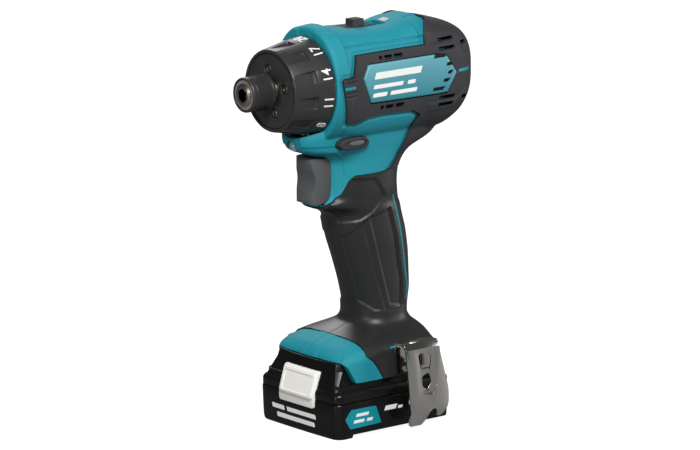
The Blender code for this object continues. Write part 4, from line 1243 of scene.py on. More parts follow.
        ledge = Relief([(24, 201), (34, 200.4), (47, 197.4), (51, 189.4), (48, 187.6), (42, 194.2),
                        (24, 195)], -0.5, 0.9)
        sill = Relief([(22, 160.0), (40, 160.6), (50, 167), (48, 169), (40, 164.8), (22, 164.4)],
                      -0.4, 0.9)
        combs = [Relief([(-33.0, z - 0.45), (-24.6, z - 0.45), (-24.6, z + 0.45), (-33.0, z + 0.45)],
                        0.5, 0.5) for z in (174.2, 176.2, 181.6, 183.4)]
        cover_skin = self.surface("cover_skin", self.proud, ledge, sill, *combs)
        return skin, grip_skin, cover_skin

    def build(self) -> list[Thing]:
        """Makes the housing halves, the cover, the grip and the teal lines.

        Returns:
            The pieces.
        """
        skin, grip_skin, cover_skin = self.skins()
        cavity = self.inside(self.wall)
        recess = self.inside(self.skin + GAP)
        cover = cut(trim(cover_skin, self.cover_region(0.0)), self.inside(self.skin))
        mask = box("mask", (-80, 2.2 - HEAD_HALF, 100), (80, HEAD_HALF - 2.2, 250))
        cut(cover, cut(self.region(BADGE_EDGE, 0.6), mask), *self.slots(0.0))
        grip = cut(trim(grip_skin, self.region(self.grip)), self.inside(self.skin))
        cut(grip, *self.openings())
        pieces = [*self.inlays("cover_ticks", cover, self.ticks),
                  *self.inlays("grip_lines", grip, self.lines)]
        for side in Side:
            near, far = sorted((side.value * GAP / 2, side.value * 80.0))
            half = box("half", (-90, near, 0), (90, far, 260))
            piece = trim(copied(skin, "body_" + side.word), copied(half, "keep"))
            for around in (self.cover_region(GAP), self.region(self.grip, GAP)):
                cut(piece, cut(around, copied(recess, "inside")))
            near, far = sorted((side.value * (HEAD_HALF - 1.9), side.value * 60))
            plate = prism("plate", BADGE_EDGE, "Y", near, far)
            cut(piece, plate, copied(cavity, "hollow"), *self.openings(), *self.slots(-0.45))
            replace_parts(piece, "housing_" + side.word)
            pieces.append(dress(piece, TEAL, "housing"))
            for whole, name, node, finish in ((cover, "cover_", "rear_cover_", BLACK),
                                              (grip, "soft_", "grip_", RUBBER)):
                part = trim(copied(whole, name + side.word), copied(half, "keep"))
                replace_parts(part, node + side.word)
                pieces.append(dress(part, finish, "housing"))
            bpy.data.objects.remove(half)
        for spare in (skin, cover, grip, cavity, recess):
            bpy.data.objects.remove(spare)
        return pieces


# The badge plates, the ring and the bit holder


@dataclass
class Badges:
    """The hexagonal plates on the sides of the rear cover.

    Attributes:
        inner: From the middle plane to a plate's inside.
        outer: From the middle plane to its outside.
    """

    inner: float = HEAD_HALF - 1.5
    outer: float = HEAD_HALF + 1.3

    def bar(self, x: float, z: float, wide: float, tall: float, lean: float) -> Outline:
        """A slanted bar.

        Args:
            x: Where it starts, at the middle of its height.
            z: The height of its middle.
            wide: Its width.
            tall: Its height.
            lean: How far it leans, as a share of its height.

        Returns:
            The bar's outline, a little rounded.
        """
        half = lean * tall / 2
        corners = [(x - half, z - tall / 2), (x + wide - half, z - tall / 2),
                   (x + wide + half, z + tall / 2), (x + half, z + tall / 2)]
        return rounded(corners, 0.5, 3)

    def build(self) -> list[Thing]:
        """Makes both plates with their slots, near-black painted shade inside the slots, and printed bars.

        Returns:
            The pieces.
        """
        slots = ((24.8, 188.3, 8.6), (33.0, 183.6, 4.4), (34.0, 179.3, 3.4), (31.0, 175.4, 4.4),
                 (24.0, 171.5, 8.0))
        pieces = []
        for side in Side:
            near, far = sorted((side.value * self.inner, side.value * self.outer))
            plate = prism("badge_" + side.word, BADGE_EDGE, "Y", near, far)
            bevelled(plate, 0.7, 3, 40)
            shades = []
            for x, z, wide in slots:
                low, high = sorted((side.value * (self.inner - 1), side.value * 40))
                slot = prism("slot", self.bar(x, z, wide, 1.9, 0.5), "Y", low, high)
                cut(plate, slot, solver=Solver.FINE)
                # A near-black insert in each slot is painted shade in the vent.
                low, high = sorted((side.value * self.inner, side.value * (self.outer - 1.1)))
                shades.append(prism("shade", self.bar(x, z, wide, 1.9, 0.5), "Y", low, high))
            name = "badge_slots_" + side.word
            shade = join(*shades, solver=Solver.FINE)
            shade.name = name
            pieces.append(dress(shade, SLOT_PAINTED_SHADE, "housing"))
            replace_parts(plate, "label_panel_" + side.word)
            pieces.append(dress(plate, BADGE, "housing"))
            low, high = sorted((side.value * (self.outer - 0.3), side.value * (self.outer + 0.08)))
            mark = prism("marks_" + side.word, self.bar(-13.5, 183.2, 30.0, 3.4, 0.35), "Y", low,
                         high)
            for x, z, wide in ((-14.5, 177.6, 19.0), (7.5, 177.6, 5.0), (-15.0, 173.4, 9.0),
                               (-3.6, 173.4, 17.0)):
                join(mark, prism("bar", self.bar(x, z, wide, 2.0, 0.35), "Y", low, high),
                     solver=Solver.FINE)
            pieces.append(dress(mark, WHITE_PRINT, "housing"))
        return pieces


@dataclass
class TorqueRing:
    """The numbered ring that sets the clutch.

    Attributes:
        front: Its front edge.
        rear: Its rear edge.
        front_radius: Its radius at the front.
        rear_radius: Its radius at the rear.
        inner: Its bore's radius.
        places: How many settings go round it.
        first: The angle of the highest number, in radians from the left side upwards.
        numbers: The numbers, from the highest down.
    """

    front: float = -60.6
    rear: float = RING_REAR
    front_radius: float = 21.06
    rear_radius: float = 25.1
    inner: float = 18.2
    places: int = 11
    first: float = math.radians(87.0)
    numbers: tuple[int, ...] = (20, 17, 14, 11, 8, 5, 2)

    def radius(self, x: float) -> float:
        """The outer radius at a place along the ring."""
        share = (x - self.front - 0.7) / (self.rear - 6.0 - self.front - 0.7)
        return self.front_radius + share * (self.rear_radius - 0.9 - self.front_radius)

    def notches(self, repeater: Repeater) -> Thing:
        """The finger notches, as one cutter.

        Args:
            repeater: What repeats the notch.

        Returns:
            The cutter.
        """
        rings = []
        stations = ((self.front - 1.0, 2.5, 20.9), (-48.4, 3.1, 21.5), (-47.6, 3.0, 22.3))
        for x, wide, floor in stations:
            top = floor + 6.0
            flare = wide + 1.8
            rings.append([(x, wide, floor), (x, flare, top), (x, -flare, top), (x, -wide, floor)])
        item = loft("notch", rings)
        angle = math.pi / 2 - self.first
        return repeater.repeat("notches", item, RING_BLACK, count=self.places,
                               start=(0.0, 0.0, AXIS_Z), step=(0.0, 0.0, 0.0),
                               first_turn=angle, turn=math.tau / self.places)

    def number(self, value: int, angle: float) -> Thing:
        """One number, bent round the ring with its top towards the bit holder.

        Args:
            value: The number.
            angle: Where it sits, in radians from the left side upwards.

        Returns:
            The number.
        """
        text = bpy.data.curves.new("number", "FONT")
        text.body = str(value)
        text.size = 7.2 * MM
        text.extrude = 0.14 * MM
        text.offset = 0.04 * MM
        text.resolution_u = 4
        text.align_x = "CENTER"
        drawn = new_thing("drawn", text)
        bpy.context.view_layer.update()
        graph = bpy.context.evaluated_depsgraph_get()
        mesh = bpy.data.meshes.new_from_object(drawn.evaluated_get(graph))
        bpy.data.objects.remove(drawn)
        for vertex in mesh.vertices:
            across, up, out = (c / MM for c in vertex.co)
            x = -39.6 - up
            radius = self.radius(x) + out + 0.02
            turn = angle + across / radius
            vertex.co = Vector((x, -radius * math.cos(turn), AXIS_Z + radius * math.sin(turn))) * MM
        return new_thing(f"number_{value}", mesh)

    def build(self, repeater: Repeater) -> list[Thing]:
        """Makes the ring, its rim, its numbers and its marks.

        Args:
            repeater: What repeats the notches and the marks.

        Returns:
            The pieces.
        """
        profile = [
            (self.front, self.inner + 1.2), (self.front, self.front_radius - 0.6),
            (self.front + 0.25, self.front_radius - 0.2), (self.front + 0.7, self.front_radius),
            (-52.0, self.radius(-52.0)), (self.rear - 6.0, self.rear_radius - 0.9),
            (self.rear - 3.2, self.rear_radius - 0.4), (self.rear - 0.8, self.rear_radius),
            (self.rear - 0.2, self.rear_radius - 0.3), (self.rear, self.rear_radius - 0.7),
            (self.rear, self.inner + 1.4), (self.rear - 5.0, self.inner), (-58.0, self.inner),
            (-58.0, self.inner + 1.2),
        ]
        ring = cut(turned("ring", profile, AXIS_Z, 176), self.notches(repeater))
        bevelled(ring, 0.35, 2, 30)
        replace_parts(ring, "torque_ring")
        pieces = [dress(ring, RING_BLACK, "torque_ring", 40)]
        pitch = math.tau / self.places
        numbers = [self.number(n, self.first - i * pitch) for i, n in enumerate(self.numbers)]
        shape = bmesh.new()
        for number in numbers:
            shape.from_mesh(number.data)
            bpy.data.objects.remove(number)
        mesh = bpy.data.meshes.new("numbers")
        shape.to_mesh(mesh)
        shape.free()
        pieces.append(dress(new_thing("numbers", mesh), WHITE_PRINT, "torque_ring"))
        mark = self.radius(-41.5)
        tick = box("tick", (-43.4, -0.35, mark - 0.3), (-39.8, 0.35, mark + 0.2))
        count = self.places - len(self.numbers)
        start = math.pi / 2 - self.first + len(self.numbers) * pitch
        ticks = repeater.repeat("ticks", tick, WHITE_PRINT, count=count,
                                start=(0.0, 0.0, AXIS_Z), step=(0.0, 0.0, 0.0),
                                first_turn=start, turn=pitch)
        pieces.append(dress(ticks, WHITE_PRINT, "torque_ring"))
        return pieces


@dataclass
class BitHolder:
    """The spindle's nose, the sleeve that frees a bit, and the plate behind them.

    Attributes:
        front: The sleeve's front edge.
        rear: Its rear edge.
        radius: Its outer radius.
        bore: Its radius at the rear, where it runs on the spindle.
        hollow: Its radius where the spring lies.
        ribs: How many fine ribs go round it.
    """

    front: float = -77.5
    rear: float = -62.8
    radius: float = 9.0
    bore: float = 6.15
    hollow: float = 7.9
    ribs: int = 56

    def build(self, repeater: Repeater) -> list[Thing]:
        """Makes the sleeve with its ribs, the spindle, the front plate and the screws.

        Args:
            repeater: What repeats the ribs.

        Returns:
            The pieces.
        """
        r, front, rear = self.radius, self.front, self.rear
        profile = [
            (front, self.hollow), (front, r - 0.8), (front + 0.35, r - 0.3),
            (front + 0.9, r - 0.08), (front + 2.2, r - 0.08), (front + 2.4, r - 0.5), (front + 3.0, r - 0.5),
            (front + 3.2, r - 0.22), (rear - 2.0, r - 0.22), (rear - 1.8, r - 0.05),
            (rear - 0.5, r - 0.05), (rear - 0.1, r - 0.4), (rear, r - 0.7), (rear, self.bore),
            (-63.4, self.bore), (-63.8, 7.3), (-65.2, 7.3), (-65.6, self.bore),
            (-69.6, self.bore), (-69.6, self.hollow),
        ]
        sleeve = turned("sleeve", profile, AXIS_Z, 112)
        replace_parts(sleeve, "bit_sleeve")
        pieces = [dress(sleeve, RING_BLACK, "bit_sleeve", 40)]
        section = [(-0.2, r - 0.4), (0.2, r - 0.4), (0.1, r - 0.02), (-0.1, r - 0.02)]
        rib = prism("rib", section, "X", front + 3.6, rear - 2.4)
        ribs = repeater.repeat("sleeve_ribs", rib, RING_BLACK, count=self.ribs,
                               start=(0.0, 0.0, AXIS_Z), step=(0.0, 0.0, 0.0), first_turn=0.0,
                               turn=math.tau / self.ribs)
        pieces.append(dress(ribs, RING_BLACK, "bit_sleeve"))
        spindle = refined("spindle", "chuck", 0.2, 2, 30)
        # The spindle's steel has painted shade inside its bore.
        pieces.append(dress(spindle, NOSE_STEEL_PAINTED_SHADE, "spindle"))
        pieces.append(dress(refined("front_plate", "nose_plate", 0.25, 2), RING_BLACK, "housing"))
        for index in range(1, 5):
            node = f"front_plate_screw_{index}"
            low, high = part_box(node)
            screw = refined(node, f"nose_screw_{index}", 0.12, 2)
            y, z = (low[1] + high[1]) / 2 / MM, (low[2] + high[2]) / 2 / MM
            x = low[0] / MM
            for wide, tall in ((1.35, 0.32), (0.32, 1.35)):
                cross = box("cross", (x - 1, y - wide, z - tall), (x + 0.45, y + wide, z + tall))
                cut(screw, cross, solver=Solver.FINE)
            pieces.append(dress(screw, SCREW_STEEL, "housing"))
        return pieces


# Controls


@dataclass
class Controls:
    """The trigger, the direction button, the speed slider and the work lamp.

    Attributes:
        trigger_face: The front of the trigger.
        trigger_back: Its rear, in front of its stem.
        trigger_top: Its upper edge.
        trigger_floor: Its lower edge.
        trigger_half: Half its width at the front.
        hollow: The depth of its finger hollow.
    """

    trigger_face: float = -40.2
    trigger_back: float = -25.5
    trigger_top: float = 141.2
    trigger_floor: float = 116.9
    trigger_half: float = 8.2
    hollow: float = 3.0

    def trigger(self) -> Thing:
        """The trigger, its front hollowed for a finger.

        Returns:
            The trigger with its stem.
        """
        low, top, face = self.trigger_floor, self.trigger_top, self.trigger_face
        side = [(self.trigger_back, top - 0.3), (face + 0.6, top - 0.3)]
        for i in range(25):
            t = i / 24
            dip = self.hollow * math.sin(math.pi * t) ** 1.3
            side.append((face - 0.6 + dip, top - 1.6 - t * (top - low - 3.6)))
        side += [(face + 0.2, low + 0.7), (face + 3.0, low + 0.2), (face + 9.0, low + 1.2),
                 (self.trigger_back, low + 1.2)]
        half, edge = self.trigger_half, self.trigger_half + 1.0
        trigger = prism("trigger_lever", side, "Y", -half, half)
        near = [(self.trigger_back + 1.0, edge), (face + 4.4, edge), (face + 4.2, half)]
        near += [(face + 3.4 - 3.9 * math.cos(a) ** 0.8, (half - 0.5) * math.sin(a))
                 for a in np.linspace(math.pi / 2, 0.12, 12).tolist()]
        plan = near + [(x, -y) for x, y in reversed(near)]
        trim(trigger, prism("plan", plan, "Z", low - 5, top + 5), solver=Solver.FINE)
        bevelled(trigger, 0.5, 3, 40)
        middle = (low + top) / 2
        stem = rod("stem", "X", self.trigger_back - 2, -15.0, 2.6, (0, middle), 24)
        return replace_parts(join(trigger, stem, solver=Solver.FINE), "trigger")

    def build(self, repeater: Repeater) -> list[Thing]:
        """Makes the controls.

        Args:
            repeater: What repeats the slider's ribs.

        Returns:
            The pieces.
        """
        pieces = [dress(self.trigger(), TRIGGER_GREY, "trigger", 50)]
        button = refined("direction_button", "direction_key", 0.9, 4, 40)
        for side in Side:
            low, high = sorted((side.value * 20.1, side.value * 26))
            oval = shifted(superellipse(7.2, 1.9, 2.4, 40).tolist(), -22.4, 149.0)
            cut(button, prism("dip", oval, "Y", low, high), solver=Solver.FINE)
        pieces.append(dress(button, BLACK, "direction_button"))
        # A grey plate on each face of the button is a painted highlight.
        for side in Side:
            low, high = sorted((side.value * 19.9, side.value * 20.35))
            oval = shifted(superellipse(4.6, 1.2, 2.4, 40).tolist(), -20.9, 149.2)
            plate = prism("key_plate_" + side.word, oval, "Y", low, high)
            bevelled(plate, 0.12, 2)
            pieces.append(dress(plate, KEY_PAINTED_HIGHLIGHT, "direction_button"))
        lever = refined("speed_lever", "speed_slider", 0.5, 3, 40)
        pieces.append(dress(lever, BLACK, "speed_lever"))
        rib = box("rib", (-0.3, -3.0, -0.3), (0.3, 3.0, 0.22))
        ribs = repeater.repeat("slider_ribs", rib, BLACK, count=5, start=(-8.3, 0.0, 207.95),
                               step=(1.15, 0.0, 0.0), first_turn=0.0, turn=0.0)
        pieces.append(dress(ribs, BLACK, "speed_lever"))
        mark = prism("speed_mark", [(10.2, 205.0), (13.6, 205.9), (13.6, 206.5), (10.2, 205.6)],
                     "Y", -3.4, 1.6)
        pieces.append(dress(mark, GREY_MARK, "housing"))
        lens = refined("led_lens", "lamp_lens", 0.5, 3)
        pieces.append(dress(lens, LENS, "housing"))
        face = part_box("led_lens")[0][0] / MM
        dot = rod("lamp_dot", "X", face - 0.06, face + 0.6, 0.45, (-0.4, 147.9), 20)
        pieces.append(dress(dot, LAMP, "housing"))
        return pieces


# Battery


@dataclass
class Battery:
    """The slide-on battery with its release latch.

    Attributes:
        front: Its front face.
        length: Its length.
        half: Half its width.
        corner: The radius of its upright corners.
        seam: The height of the tub.
        bend: The height from which the nose slopes back.
        slope: How much it does.
        wall: From the tub's outside to its inside.
        latch_half: Half the press plate's width.
        latch_low: The plate's lower edge.
        latch_high: Its upper edge.
        latch_deep: How far it reaches behind the front face.
    """

    front: float = -45.2
    length: float = 75.2
    half: float = 32.2
    corner: float = 4.2
    seam: float = 18.5
    bend: float = 20.0
    slope: float = NOSE_SLOPE
    wall: float = 2.0
    latch_half: float = 14.2
    latch_low: float = 13.8
    latch_high: float = 32.6
    latch_deep: float = 1.7

    @property
    def middle(self) -> float:
        """The middle of its length."""
        return self.front + self.length / 2

    def nose_x(self, z: float) -> float:
        """The middle of the front face at a height."""
        return self.front + max(z - self.bend, 0.0) * self.slope

    def outline(self, inset: float, corner: float) -> Outline:
        """The battery seen from above, its front a little convex.

        Args:
            inset: How far it is drawn in.
            corner: The radius of its corners.

        Returns:
            The outline.
        """
        points = []
        for quarter, (sx, sy) in enumerate(((1, 1), (-1, 1), (-1, -1), (1, -1))):
            for i in range(11):
                a = (quarter + i / 10) * math.pi / 2
                x = self.middle + sx * (self.length / 2 - inset - corner) + corner * math.cos(a)
                y = sy * (self.half - inset - corner) + corner * math.sin(a)
                if x < self.middle:
                    x += 0.8 * min(abs(y) / self.half, 1.0) ** 2
                points.append((x, y))
            if quarter == 1:
                face = self.front + inset
                points += [(face + 0.8 * (y / self.half) ** 2, y)
                           for y in np.linspace(24, -24, 17).tolist()]
        return points

    def slab(self, name: str, low: float, high: float, wide: float, out: float, deep: float,
             radius: float = 0.0) -> Thing:
        """A slab that follows the front face, with its corners rounded in the front view.

        Args:
            name: The object's name.
            low: Its lower edge.
            high: Its upper edge.
            wide: Half its width.
            out: How far it stands in front of the face.
            deep: How far it reaches behind the face.
            radius: The radius of its corners; 0 leaves them sharp.

        Returns:
            The slab.
        """
        heights = [low, min(max(self.bend, low + 0.1), high - 0.1), high]
        side = [(self.nose_x(z) - out, z) for z in heights]
        side += [(self.nose_x(z) + deep, z) for z in reversed(heights)]
        piece = prism(name, side, "Y", -wide, wide)
        if radius:
            face = rounded([(-wide, low), (wide, low), (wide, high), (-wide, high)], radius, 6)
            trim(piece, prism("face", face, "X", -90, 0), solver=Solver.FINE)
        return piece

    def rounded_loft(self, name: str, rows: list[tuple[float, float]]) -> Thing:
        """Outlines at (height, inset) pairs, joined."""
        return loft(name, [[(x, y, z) for x, y in self.outline(inset, self.corner)]
                           for z, inset in rows])

    def tub(self, pocket: float) -> Thing:
        """The lower half.

        Args:
            pocket: How deep the latch's pocket is.

        Returns:
            The tub.
        """
        tub = self.rounded_loft("tub", [
            (0.0, 1.6), (0.25, 1.1), (0.8, 0.75), (1.6, 0.55), (3.0, 0.4), (7.0, 0.25),
            (self.seam - 0.5, 0.0), (self.seam, 0.25),
        ])
        rear = self.front + self.length
        low, high, half = self.front + self.wall, rear - self.wall, self.half - self.wall
        inside = rounded([(low, -half), (high, -half), (high, half), (low, half)], 1.5)
        cut(tub, prism("inside", inside, "Z", self.wall, self.seam + 5))
        backing = box("backing", (self.front + 1.6, -16.2, 11.4),
                      (self.front + 6.4, 16.2, self.seam))
        join(tub, backing, solver=Solver.FINE)
        room = self.latch_half + GAP
        cut(tub, self.slab("pocket", self.latch_low - GAP, self.latch_high, room, 4.0, pocket),
            solver=Solver.FINE)
        for side in (-1, 1):
            relief = [(side * y, z) for y, z in ((20, -0.4), (40, -0.4), (40, 3.4), (20, 0.0))]
            cut(tub, prism("relief", relief, "X", -34, 60), solver=Solver.FINE)
        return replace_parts(bevelled(tub, 0.25, 2, 35), "battery_tub")

    def lid(self, pocket: float) -> Thing:
        """The upper half with its nose and its rail tower.

        Args:
            pocket: How deep the latch's pocket is.

        Returns:
            The lid.
        """
        seam = self.seam + GAP
        lid = self.rounded_loft("lid", [
            (seam, 0.45), (seam + 0.3, 0.2), (22.2, 0.2), (23.0, 0.45), (23.8, 1.0), (24.5, 1.9),
            (24.8, 2.4), (27.4, 2.4),
        ])
        rows = ((19.2, 28.6, 1.0, 29.6, 2.0, -30.6), (24.5, 27.6, 0.9, 28.6, 1.8, -30.6),
                (34.0, 23.6, 1.9, 26.2, 4.6, -33.8), (37.9, 22.6, 1.9, 24.6, 2.9, -36.5))
        nose = []
        for z, face_half, face_back, side_half, side_back, back in rows:
            x = self.nose_x(z)
            edge = [(x, 9.0), (x + face_back, face_half), (x + side_back, side_half),
                    (back, side_half)]
            nose.append([(a, b, z) for a, b in edge] + [(a, -b, z) for a, b in reversed(edge)])
        tower = box("tower", (-37.4, -20, 25), (self.front + self.length - 16, 20, 37.5))
        bevelled(tower, 0.5, 2)
        join(lid, bevelled(loft("nose", nose), 0.7, 3, 12), tower, solver=Solver.FINE)
        inner = self.half - 2.2
        cut(lid, box("inside", (self.front + 8, -inner, 10), (27.8, inner, 21.3)),
            self.slab("pocket", 10.0, self.latch_high + GAP, self.latch_half + GAP, 4.0, pocket),
            solver=Solver.FINE)
        for y in (-6.0, 6.0):
            cut(lid, box("slot", (0.0, y - 1.2, 31), (16, y + 1.2, 34.6)), solver=Solver.FINE)
        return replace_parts(lid, "battery_top")

    def latch(self) -> Thing:
        """The press plate with its raised upper part.

        Returns:
            The latch.
        """
        low, high, half = self.latch_low, self.latch_high, self.latch_half
        latch = self.slab("latch_plate", low, high, half, 0.6, self.latch_deep, 2.0)
        bevelled(latch, 0.45, 3)
        raised = self.slab("raised", low + 4.6, high - 0.8, half - 1.0, 1.5, 1.0, 2.0)
        join(latch, bevelled(raised, 0.6, 3), solver=Solver.FINE)
        dish = self.slab("dish", low + 6.4, high - 2.6, half - 2.8, 6.0, -1.1, 1.6)
        cut(latch, dish, solver=Solver.FINE)
        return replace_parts(latch, "battery_latch")

    def marks(self) -> list[Thing]:
        """The printed bars on the front and the badge on the left side.

        Returns:
            The pieces.
        """
        made = []
        bars = []
        for low, high, z in ((-15.0, 8.0, 9.6), (10.5, 20.0, 9.6), (-14.0, 16.0, 5.4)):
            corners = [(low, z - 1.1), (high, z - 1.1), (high + 0.7, z + 1.1), (low + 0.7, z + 1.1)]
            bars.append(prism("front_bars", corners, "X", self.front + 0.05, self.front + 0.8))
        made.append(dress(join(*bars, solver=Solver.FINE), WHITE_PRINT, "battery"))
        outline = rounded([(-39.4, 10.4), (-35.6, 15.2), (-19.4, 15.0), (-16.0, 5.6),
                           (-36.2, 5.2)], 0.8)
        side = -self.half
        badge = prism("side_badge", outline, "Y", side, side + 0.8)
        made.append(dress(badge, STRIP, "battery"))
        bars = []
        for low, high, z, tall in ((-32.6, -24.6, 11.9, 1.6), (-34.2, -27.4, 8.7, 1.6),
                                   (-25.6, -22.0, 8.7, 1.6), (-14.0, -6.6, 12.6, 2.4),
                                   (-5.2, -2.4, 12.0, 1.4)):
            corners = [(low, z - tall / 2), (high, z - tall / 2), (high + tall * 0.4, z + tall / 2),
                       (low + tall * 0.4, z + tall / 2)]
            bars.append(prism("side_bars", corners, "Y", side - 0.03, side + 0.6))
        made.append(dress(join(*bars, solver=Solver.FINE), WHITE_PRINT, "battery"))
        return made

    def build(self) -> list[Thing]:
        """Makes the battery's pieces.

        Returns:
            The pieces.
        """
        pocket = self.latch_deep + 2.2 + GAP
        return [
            dress(self.tub(pocket), GLOSS_BLACK, "battery", 30),
            dress(self.lid(pocket), GLOSS_BLACK, "battery", 30),
            dress(self.latch(), LATCH_WHITE, "battery_latch", 40),
            *self.marks(),
        ]


# Belt clip, screws and what shows inside


@dataclass
class Hardware:
    """The belt clip and the housing's screws.

    Attributes:
        clip: The clip's node.
        face: Where the clip lies on the foot, across the drill.
        inner: The inside of its outer plate.
        outer: The outside of its outer plate.
        screws: Where the screws go, in the side view.
    """

    clip: str = "belt_clip"
    face: float = -31.9
    inner: float = -40.5
    outer: float = -41.7
    screws: tuple[tuple[float, float], ...] = (
        (-27.0, 156.0), (14.0, 151.0), (44.0, 160.0), (-16.0, 196.5), (30.0, 150.6), (-26.5, 40.5),
    )

    def belt_clip(self) -> Thing:
        """The bent clip: a plate folded over at the top, with two windows in a stamped frame.

        Returns:
            The clip.
        """
        face, inner, outer = self.face, self.inner, self.outer
        profile = [
            (face, 30), (face, 43), (face - 2, 46.2), (outer + 2, 46.2), (outer, 43),
            (outer - 1, 10), (outer + 2.6, 2.2), (outer + 4, 2.8), (inner - 1, 10.4),
            (inner, 42.4), (inner + 1.4, 44.9), (face - 2.6, 44.9), (face - 1.2, 42.4),
            (face - 1.2, 30),
        ]
        clip = prism("clip_plate", profile, "X", -9, 21)
        edge = rounded([(-7.6, 50), (14, 50), (14.8, 40), (20, 20), (20, 12), (16.6, 6.0),
                        (13.4, 5.6), (12, 10.6), (8.4, 10.6), (6.4, 4.4), (3.4, 1), (-2.0, 1),
                        (-4.8, 8)], 2.4, 6)
        trim(clip, prism("edge", edge, "Y", -60, -20), solver=Solver.FINE)
        frame = rounded([(-1.2, 43.0), (11.6, 41.6), (12.4, 22.4), (9.0, 18.2), (1.8, 19.6)],
                        2.0, 5)
        stamp = prism("stamp", [(-50, 46), (outer + 0.45, 43), (outer - 0.45, 17), (-50, 14)], "X",
                      -9, 21)
        trim(stamp, prism("frame", frame, "Y", -60, -20), solver=Solver.FINE)
        windows = [
            rounded([(0.8, 39.9), (6.6, 41.0), (9.4, 38.0), (8.4, 31.6), (1.8, 32.5)], 1.4, 5),
            rounded([(2.9, 28.6), (7.4, 29.9), (9.0, 25.0), (6.0, 20.6), (2.9, 23.3)], 1.4, 5),
        ]
        cut(clip, stamp, *[prism("window", hole, "Y", -60, -20) for hole in windows],
            solver=Solver.FINE)
        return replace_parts(bevelled(clip, 0.3, 3, 30), self.clip)

    def build(self, fastener: Fastener, body: list[Thing]) -> list[Thing]:
        """Makes the clip and sets the screws into the right side of the body.

        Args:
            fastener: What sets the screws.
            body: The moulded pieces that the screws are sunk into.

        Returns:
            The pieces.
        """
        pieces = [dress(self.belt_clip(), NICKEL, "housing", 40)]
        places = []
        right = [piece for piece in body if piece.name.endswith("right")]
        for x, z in self.screws:
            start, way = Vector((x, 60.0, z)) * MM, Vector((0.0, -1.0, 0.0))
            hits = [(hit.y, piece) for piece in right
                    for found, hit, _, _ in (piece.ray_cast(start, way),) if found]
            if not hits:
                log.warning("no surface for a screw at %s, %s", x, z)
                continue
            depth, piece = max(hits, key=lambda pair: pair[0])
            cut(piece, rod("well", "Y", depth / MM - 1.5, 60.0, 2.7, (x, z), 36))
            places.append(Vector((x * MM, depth - 1.5 * MM, z * MM)))
        heads = fastener.fasten("body_screws", screw_head("Y", 1.0, 2.3, 1.1), SCREW_STEEL, places,
                                (0.0, math.pi, 0.0))
        pieces.append(dress(heads, SCREW_STEEL, "housing"))
        return pieces


@dataclass(frozen=True)
class Spring:
    """A coil spring, copied from its CAD node.

    Attributes:
        node: The CAD node that it stands for.
        body: The body that holds its fixed end.
        joint: The joint that presses it; not used.
        fixed: Where its fixed end lies along X; not used.
        keep: Its length at the joint's limit, as a share of its length at rest; not used.
        height: The height of its fixed end's middle; not used.
        slope: How far its ends lean back as they rise; not used.
    """

    node: str
    body: str
    joint: str
    fixed: float
    keep: float
    height: float = AXIS_Z
    slope: float = 0.0

    def build(self) -> Thing:
        """Makes the coil.

        Returns:
            The coil.
        """
        coil = copied(bpy.data.objects[self.node], self.node + "_coil")
        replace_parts(coil, self.node)
        dress(coil, STEEL, self.body, 50)
        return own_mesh(coil)


SPRINGS = (
    Spring("sleeve_spring", "spindle", "sleeve_slide", fixed=-75.6, keep=0.55),
    Spring("clutch_spring", "housing", "clutch_nut_slide", fixed=-38.4, keep=0.68),
    Spring("trigger_spring", "housing", "trigger_pull", fixed=-18.3, keep=0.14),
    Spring("latch_spring", "battery", "latch_press", fixed=-38.95, keep=0.08, height=27.0,
           slope=NOSE_SLOPE),
)


def dress_inside(frame: dict) -> None:
    """Gives the CAD nodes that show as they are their finishes, by the record's slots.

    Args:
        frame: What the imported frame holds.
    """
    finishes = {
        "teal_nylon": TEAL, "black_nylon": BLACK, "soft_elastomer": RUBBER, "label_print": BADGE,
        "cast_alloy": ALLOY, "dark_steel": DARK_STEEL, "bright_steel": STEEL,
        "nickel_steel": NICKEL, "copper": COPPER, "ferrite": FERRITE, "latch_white": LATCH_WHITE,
        "cell_wrap": CELL_WRAP, "clear_lens": LENS,
    }
    for part in frame["record"]["subparts"]:
        node = bpy.data.objects[part["node"]]
        for slot in node.material_slots:
            slot.link = "OBJECT"
            slot.material = finishes[part["material_slot"]].material()


# Studio


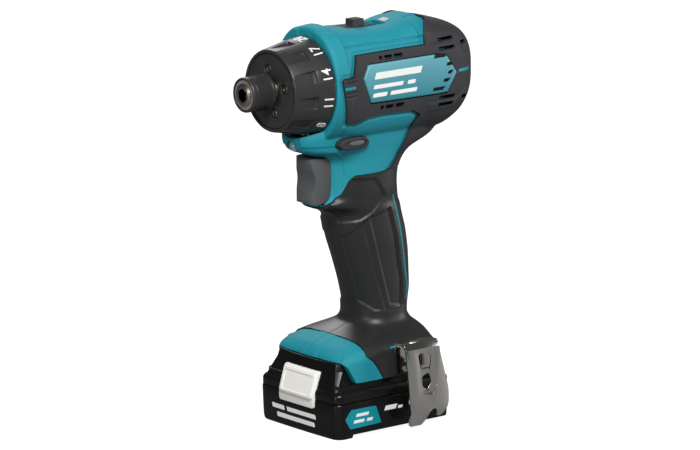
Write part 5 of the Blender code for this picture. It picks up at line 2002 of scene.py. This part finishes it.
@dataclass
class Studio:
    """A white sweep, soft lights and the camera.

    Attributes:
        target: What the camera looks at, in millimetres.
        azimuth: Its direction from the target, in degrees from -Y towards +X.
        elevation: Its height above the target, in degrees.
        distance: How far away it is, in millimetres.
        lens: Its focal length in millimetres.
        roll: How far it is turned about its view, in degrees.
    """

    target: tuple[float, float, float] = (-9.85, 0.0, 101.89)
    azimuth: float = -38.67
    elevation: float = 12.56
    distance: float = 2668.4
    lens: float = 269.6
    roll: float = -0.37

    def camera(self) -> None:
        """Sets up the camera."""
        data = bpy.data.cameras.new("camera")
        data.lens = self.lens
        data.sensor_width = 36.0
        data.clip_start, data.clip_end = 0.1, 20.0
        camera = bpy.data.objects.new("camera", data)
        bpy.context.scene.collection.objects.link(camera)
        azimuth, elevation = math.radians(self.azimuth), math.radians(self.elevation)
        back = Vector((math.sin(azimuth) * math.cos(elevation),
                       -math.cos(azimuth) * math.cos(elevation), math.sin(elevation)))
        turn = back.to_track_quat("Z", "Y").to_matrix()
        turn = turn @ Matrix.Rotation(math.radians(self.roll), 3, "Z")
        camera.matrix_world = Matrix.LocRotScale(
            Vector(self.target) * MM + back * self.distance * MM, turn, None)
        bpy.context.scene.camera = camera

    def light(self, name: str, at: tuple[float, float, float], wide: float, tall: float,
              power: float) -> None:
        """A soft light panel that faces the drill.

        Args:
            name: The light's name.
            at: Where it stands, in metres.
            wide: Its width in metres.
            tall: Its height in metres.
            power: Its power in watts.
        """
        data = bpy.data.lights.new(name, "AREA")
        data.shape = "RECTANGLE"
        data.size, data.size_y = wide, tall
        data.energy = power
        lamp = bpy.data.objects.new(name, data)
        bpy.context.scene.collection.objects.link(lamp)
        away = Vector(at) - Vector((0.0, 0.0, 0.11))
        turn = away.to_track_quat("Z", "Y").to_matrix()
        lamp.matrix_world = Matrix.LocRotScale(Vector(at), turn, None)

    def floor(self) -> Thing:
        """A floor that is plain white to the camera and keeps its shadows.

        Returns:
            The floor.
        """
        mesh = bpy.data.meshes.new("floor")
        mesh.from_pydata([(-3, -3, 0), (3, -3, 0), (3, 3, 0), (-3, 3, 0)], [], [(0, 1, 2, 3)])
        floor = new_thing("floor", mesh)
        material = bpy.data.materials.new("floor")
        material.use_nodes = True
        shader = material.node_tree.nodes["Principled BSDF"]
        shader.inputs["Base Color"].default_value = (0.2, 0.2, 0.2, 1.0)
        shader.inputs["Roughness"].default_value = 0.6
        shader.inputs["Emission Color"].default_value = (1.0, 1.0, 1.0, 1.0)
        board = Board(material.node_tree)
        strength = board.camera_ray() * 0.95
        material.node_tree.links.new(strength.socket, shader.inputs["Emission Strength"])
        mesh.materials.append(material)
        return floor

    def world(self) -> None:
        """White to the camera, a softer grey to everything else."""
        world = bpy.data.worlds.new("studio")
        bpy.context.scene.world = world
        world.use_nodes = True
        board = Board(world.node_tree)
        strength = board.camera_ray() * 0.93 + 0.07
        surface = world.node_tree.nodes["Background"]
        surface.inputs["Color"].default_value = (1.0, 1.0, 1.0, 1.0)
        world.node_tree.links.new(strength.socket, surface.inputs["Strength"])

    def build(self) -> None:
        """Sets the stage."""
        self.camera()
        self.world()
        self.floor()
        self.light("key", (-0.6, -1.0, 1.2), 0.7, 0.5, 30.0)
        self.light("front", (-1.4, -0.3, 0.5), 0.25, 0.8, 4.5)
        self.light("side", (1.35, -0.75, 0.4), 0.3, 0.8, 9.0)
        self.light("back", (0.5, 1.1, 0.9), 0.8, 0.5, 7.0)
        bpy.context.scene.view_settings.view_transform = "Standard"


def main() -> None:
    """Builds the drill's looks round the frame."""
    logging.basicConfig(level=logging.INFO, format="%(message)s")
    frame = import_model()
    repeater, fastener = Repeater(), Fastener()
    body = Body().build()
    pieces = list(body)
    pieces += Badges().build()
    pieces += TorqueRing().build(repeater)
    pieces += BitHolder().build(repeater)
    pieces += Controls().build(repeater)
    pieces += Battery().build()
    pieces += Hardware().build(fastener, body)
    pieces += [spring.build() for spring in SPRINGS]
    dress_inside(frame)
    Studio().build()
    log.info("%d pieces", len(pieces))


if __name__ == "__main__":
    main()
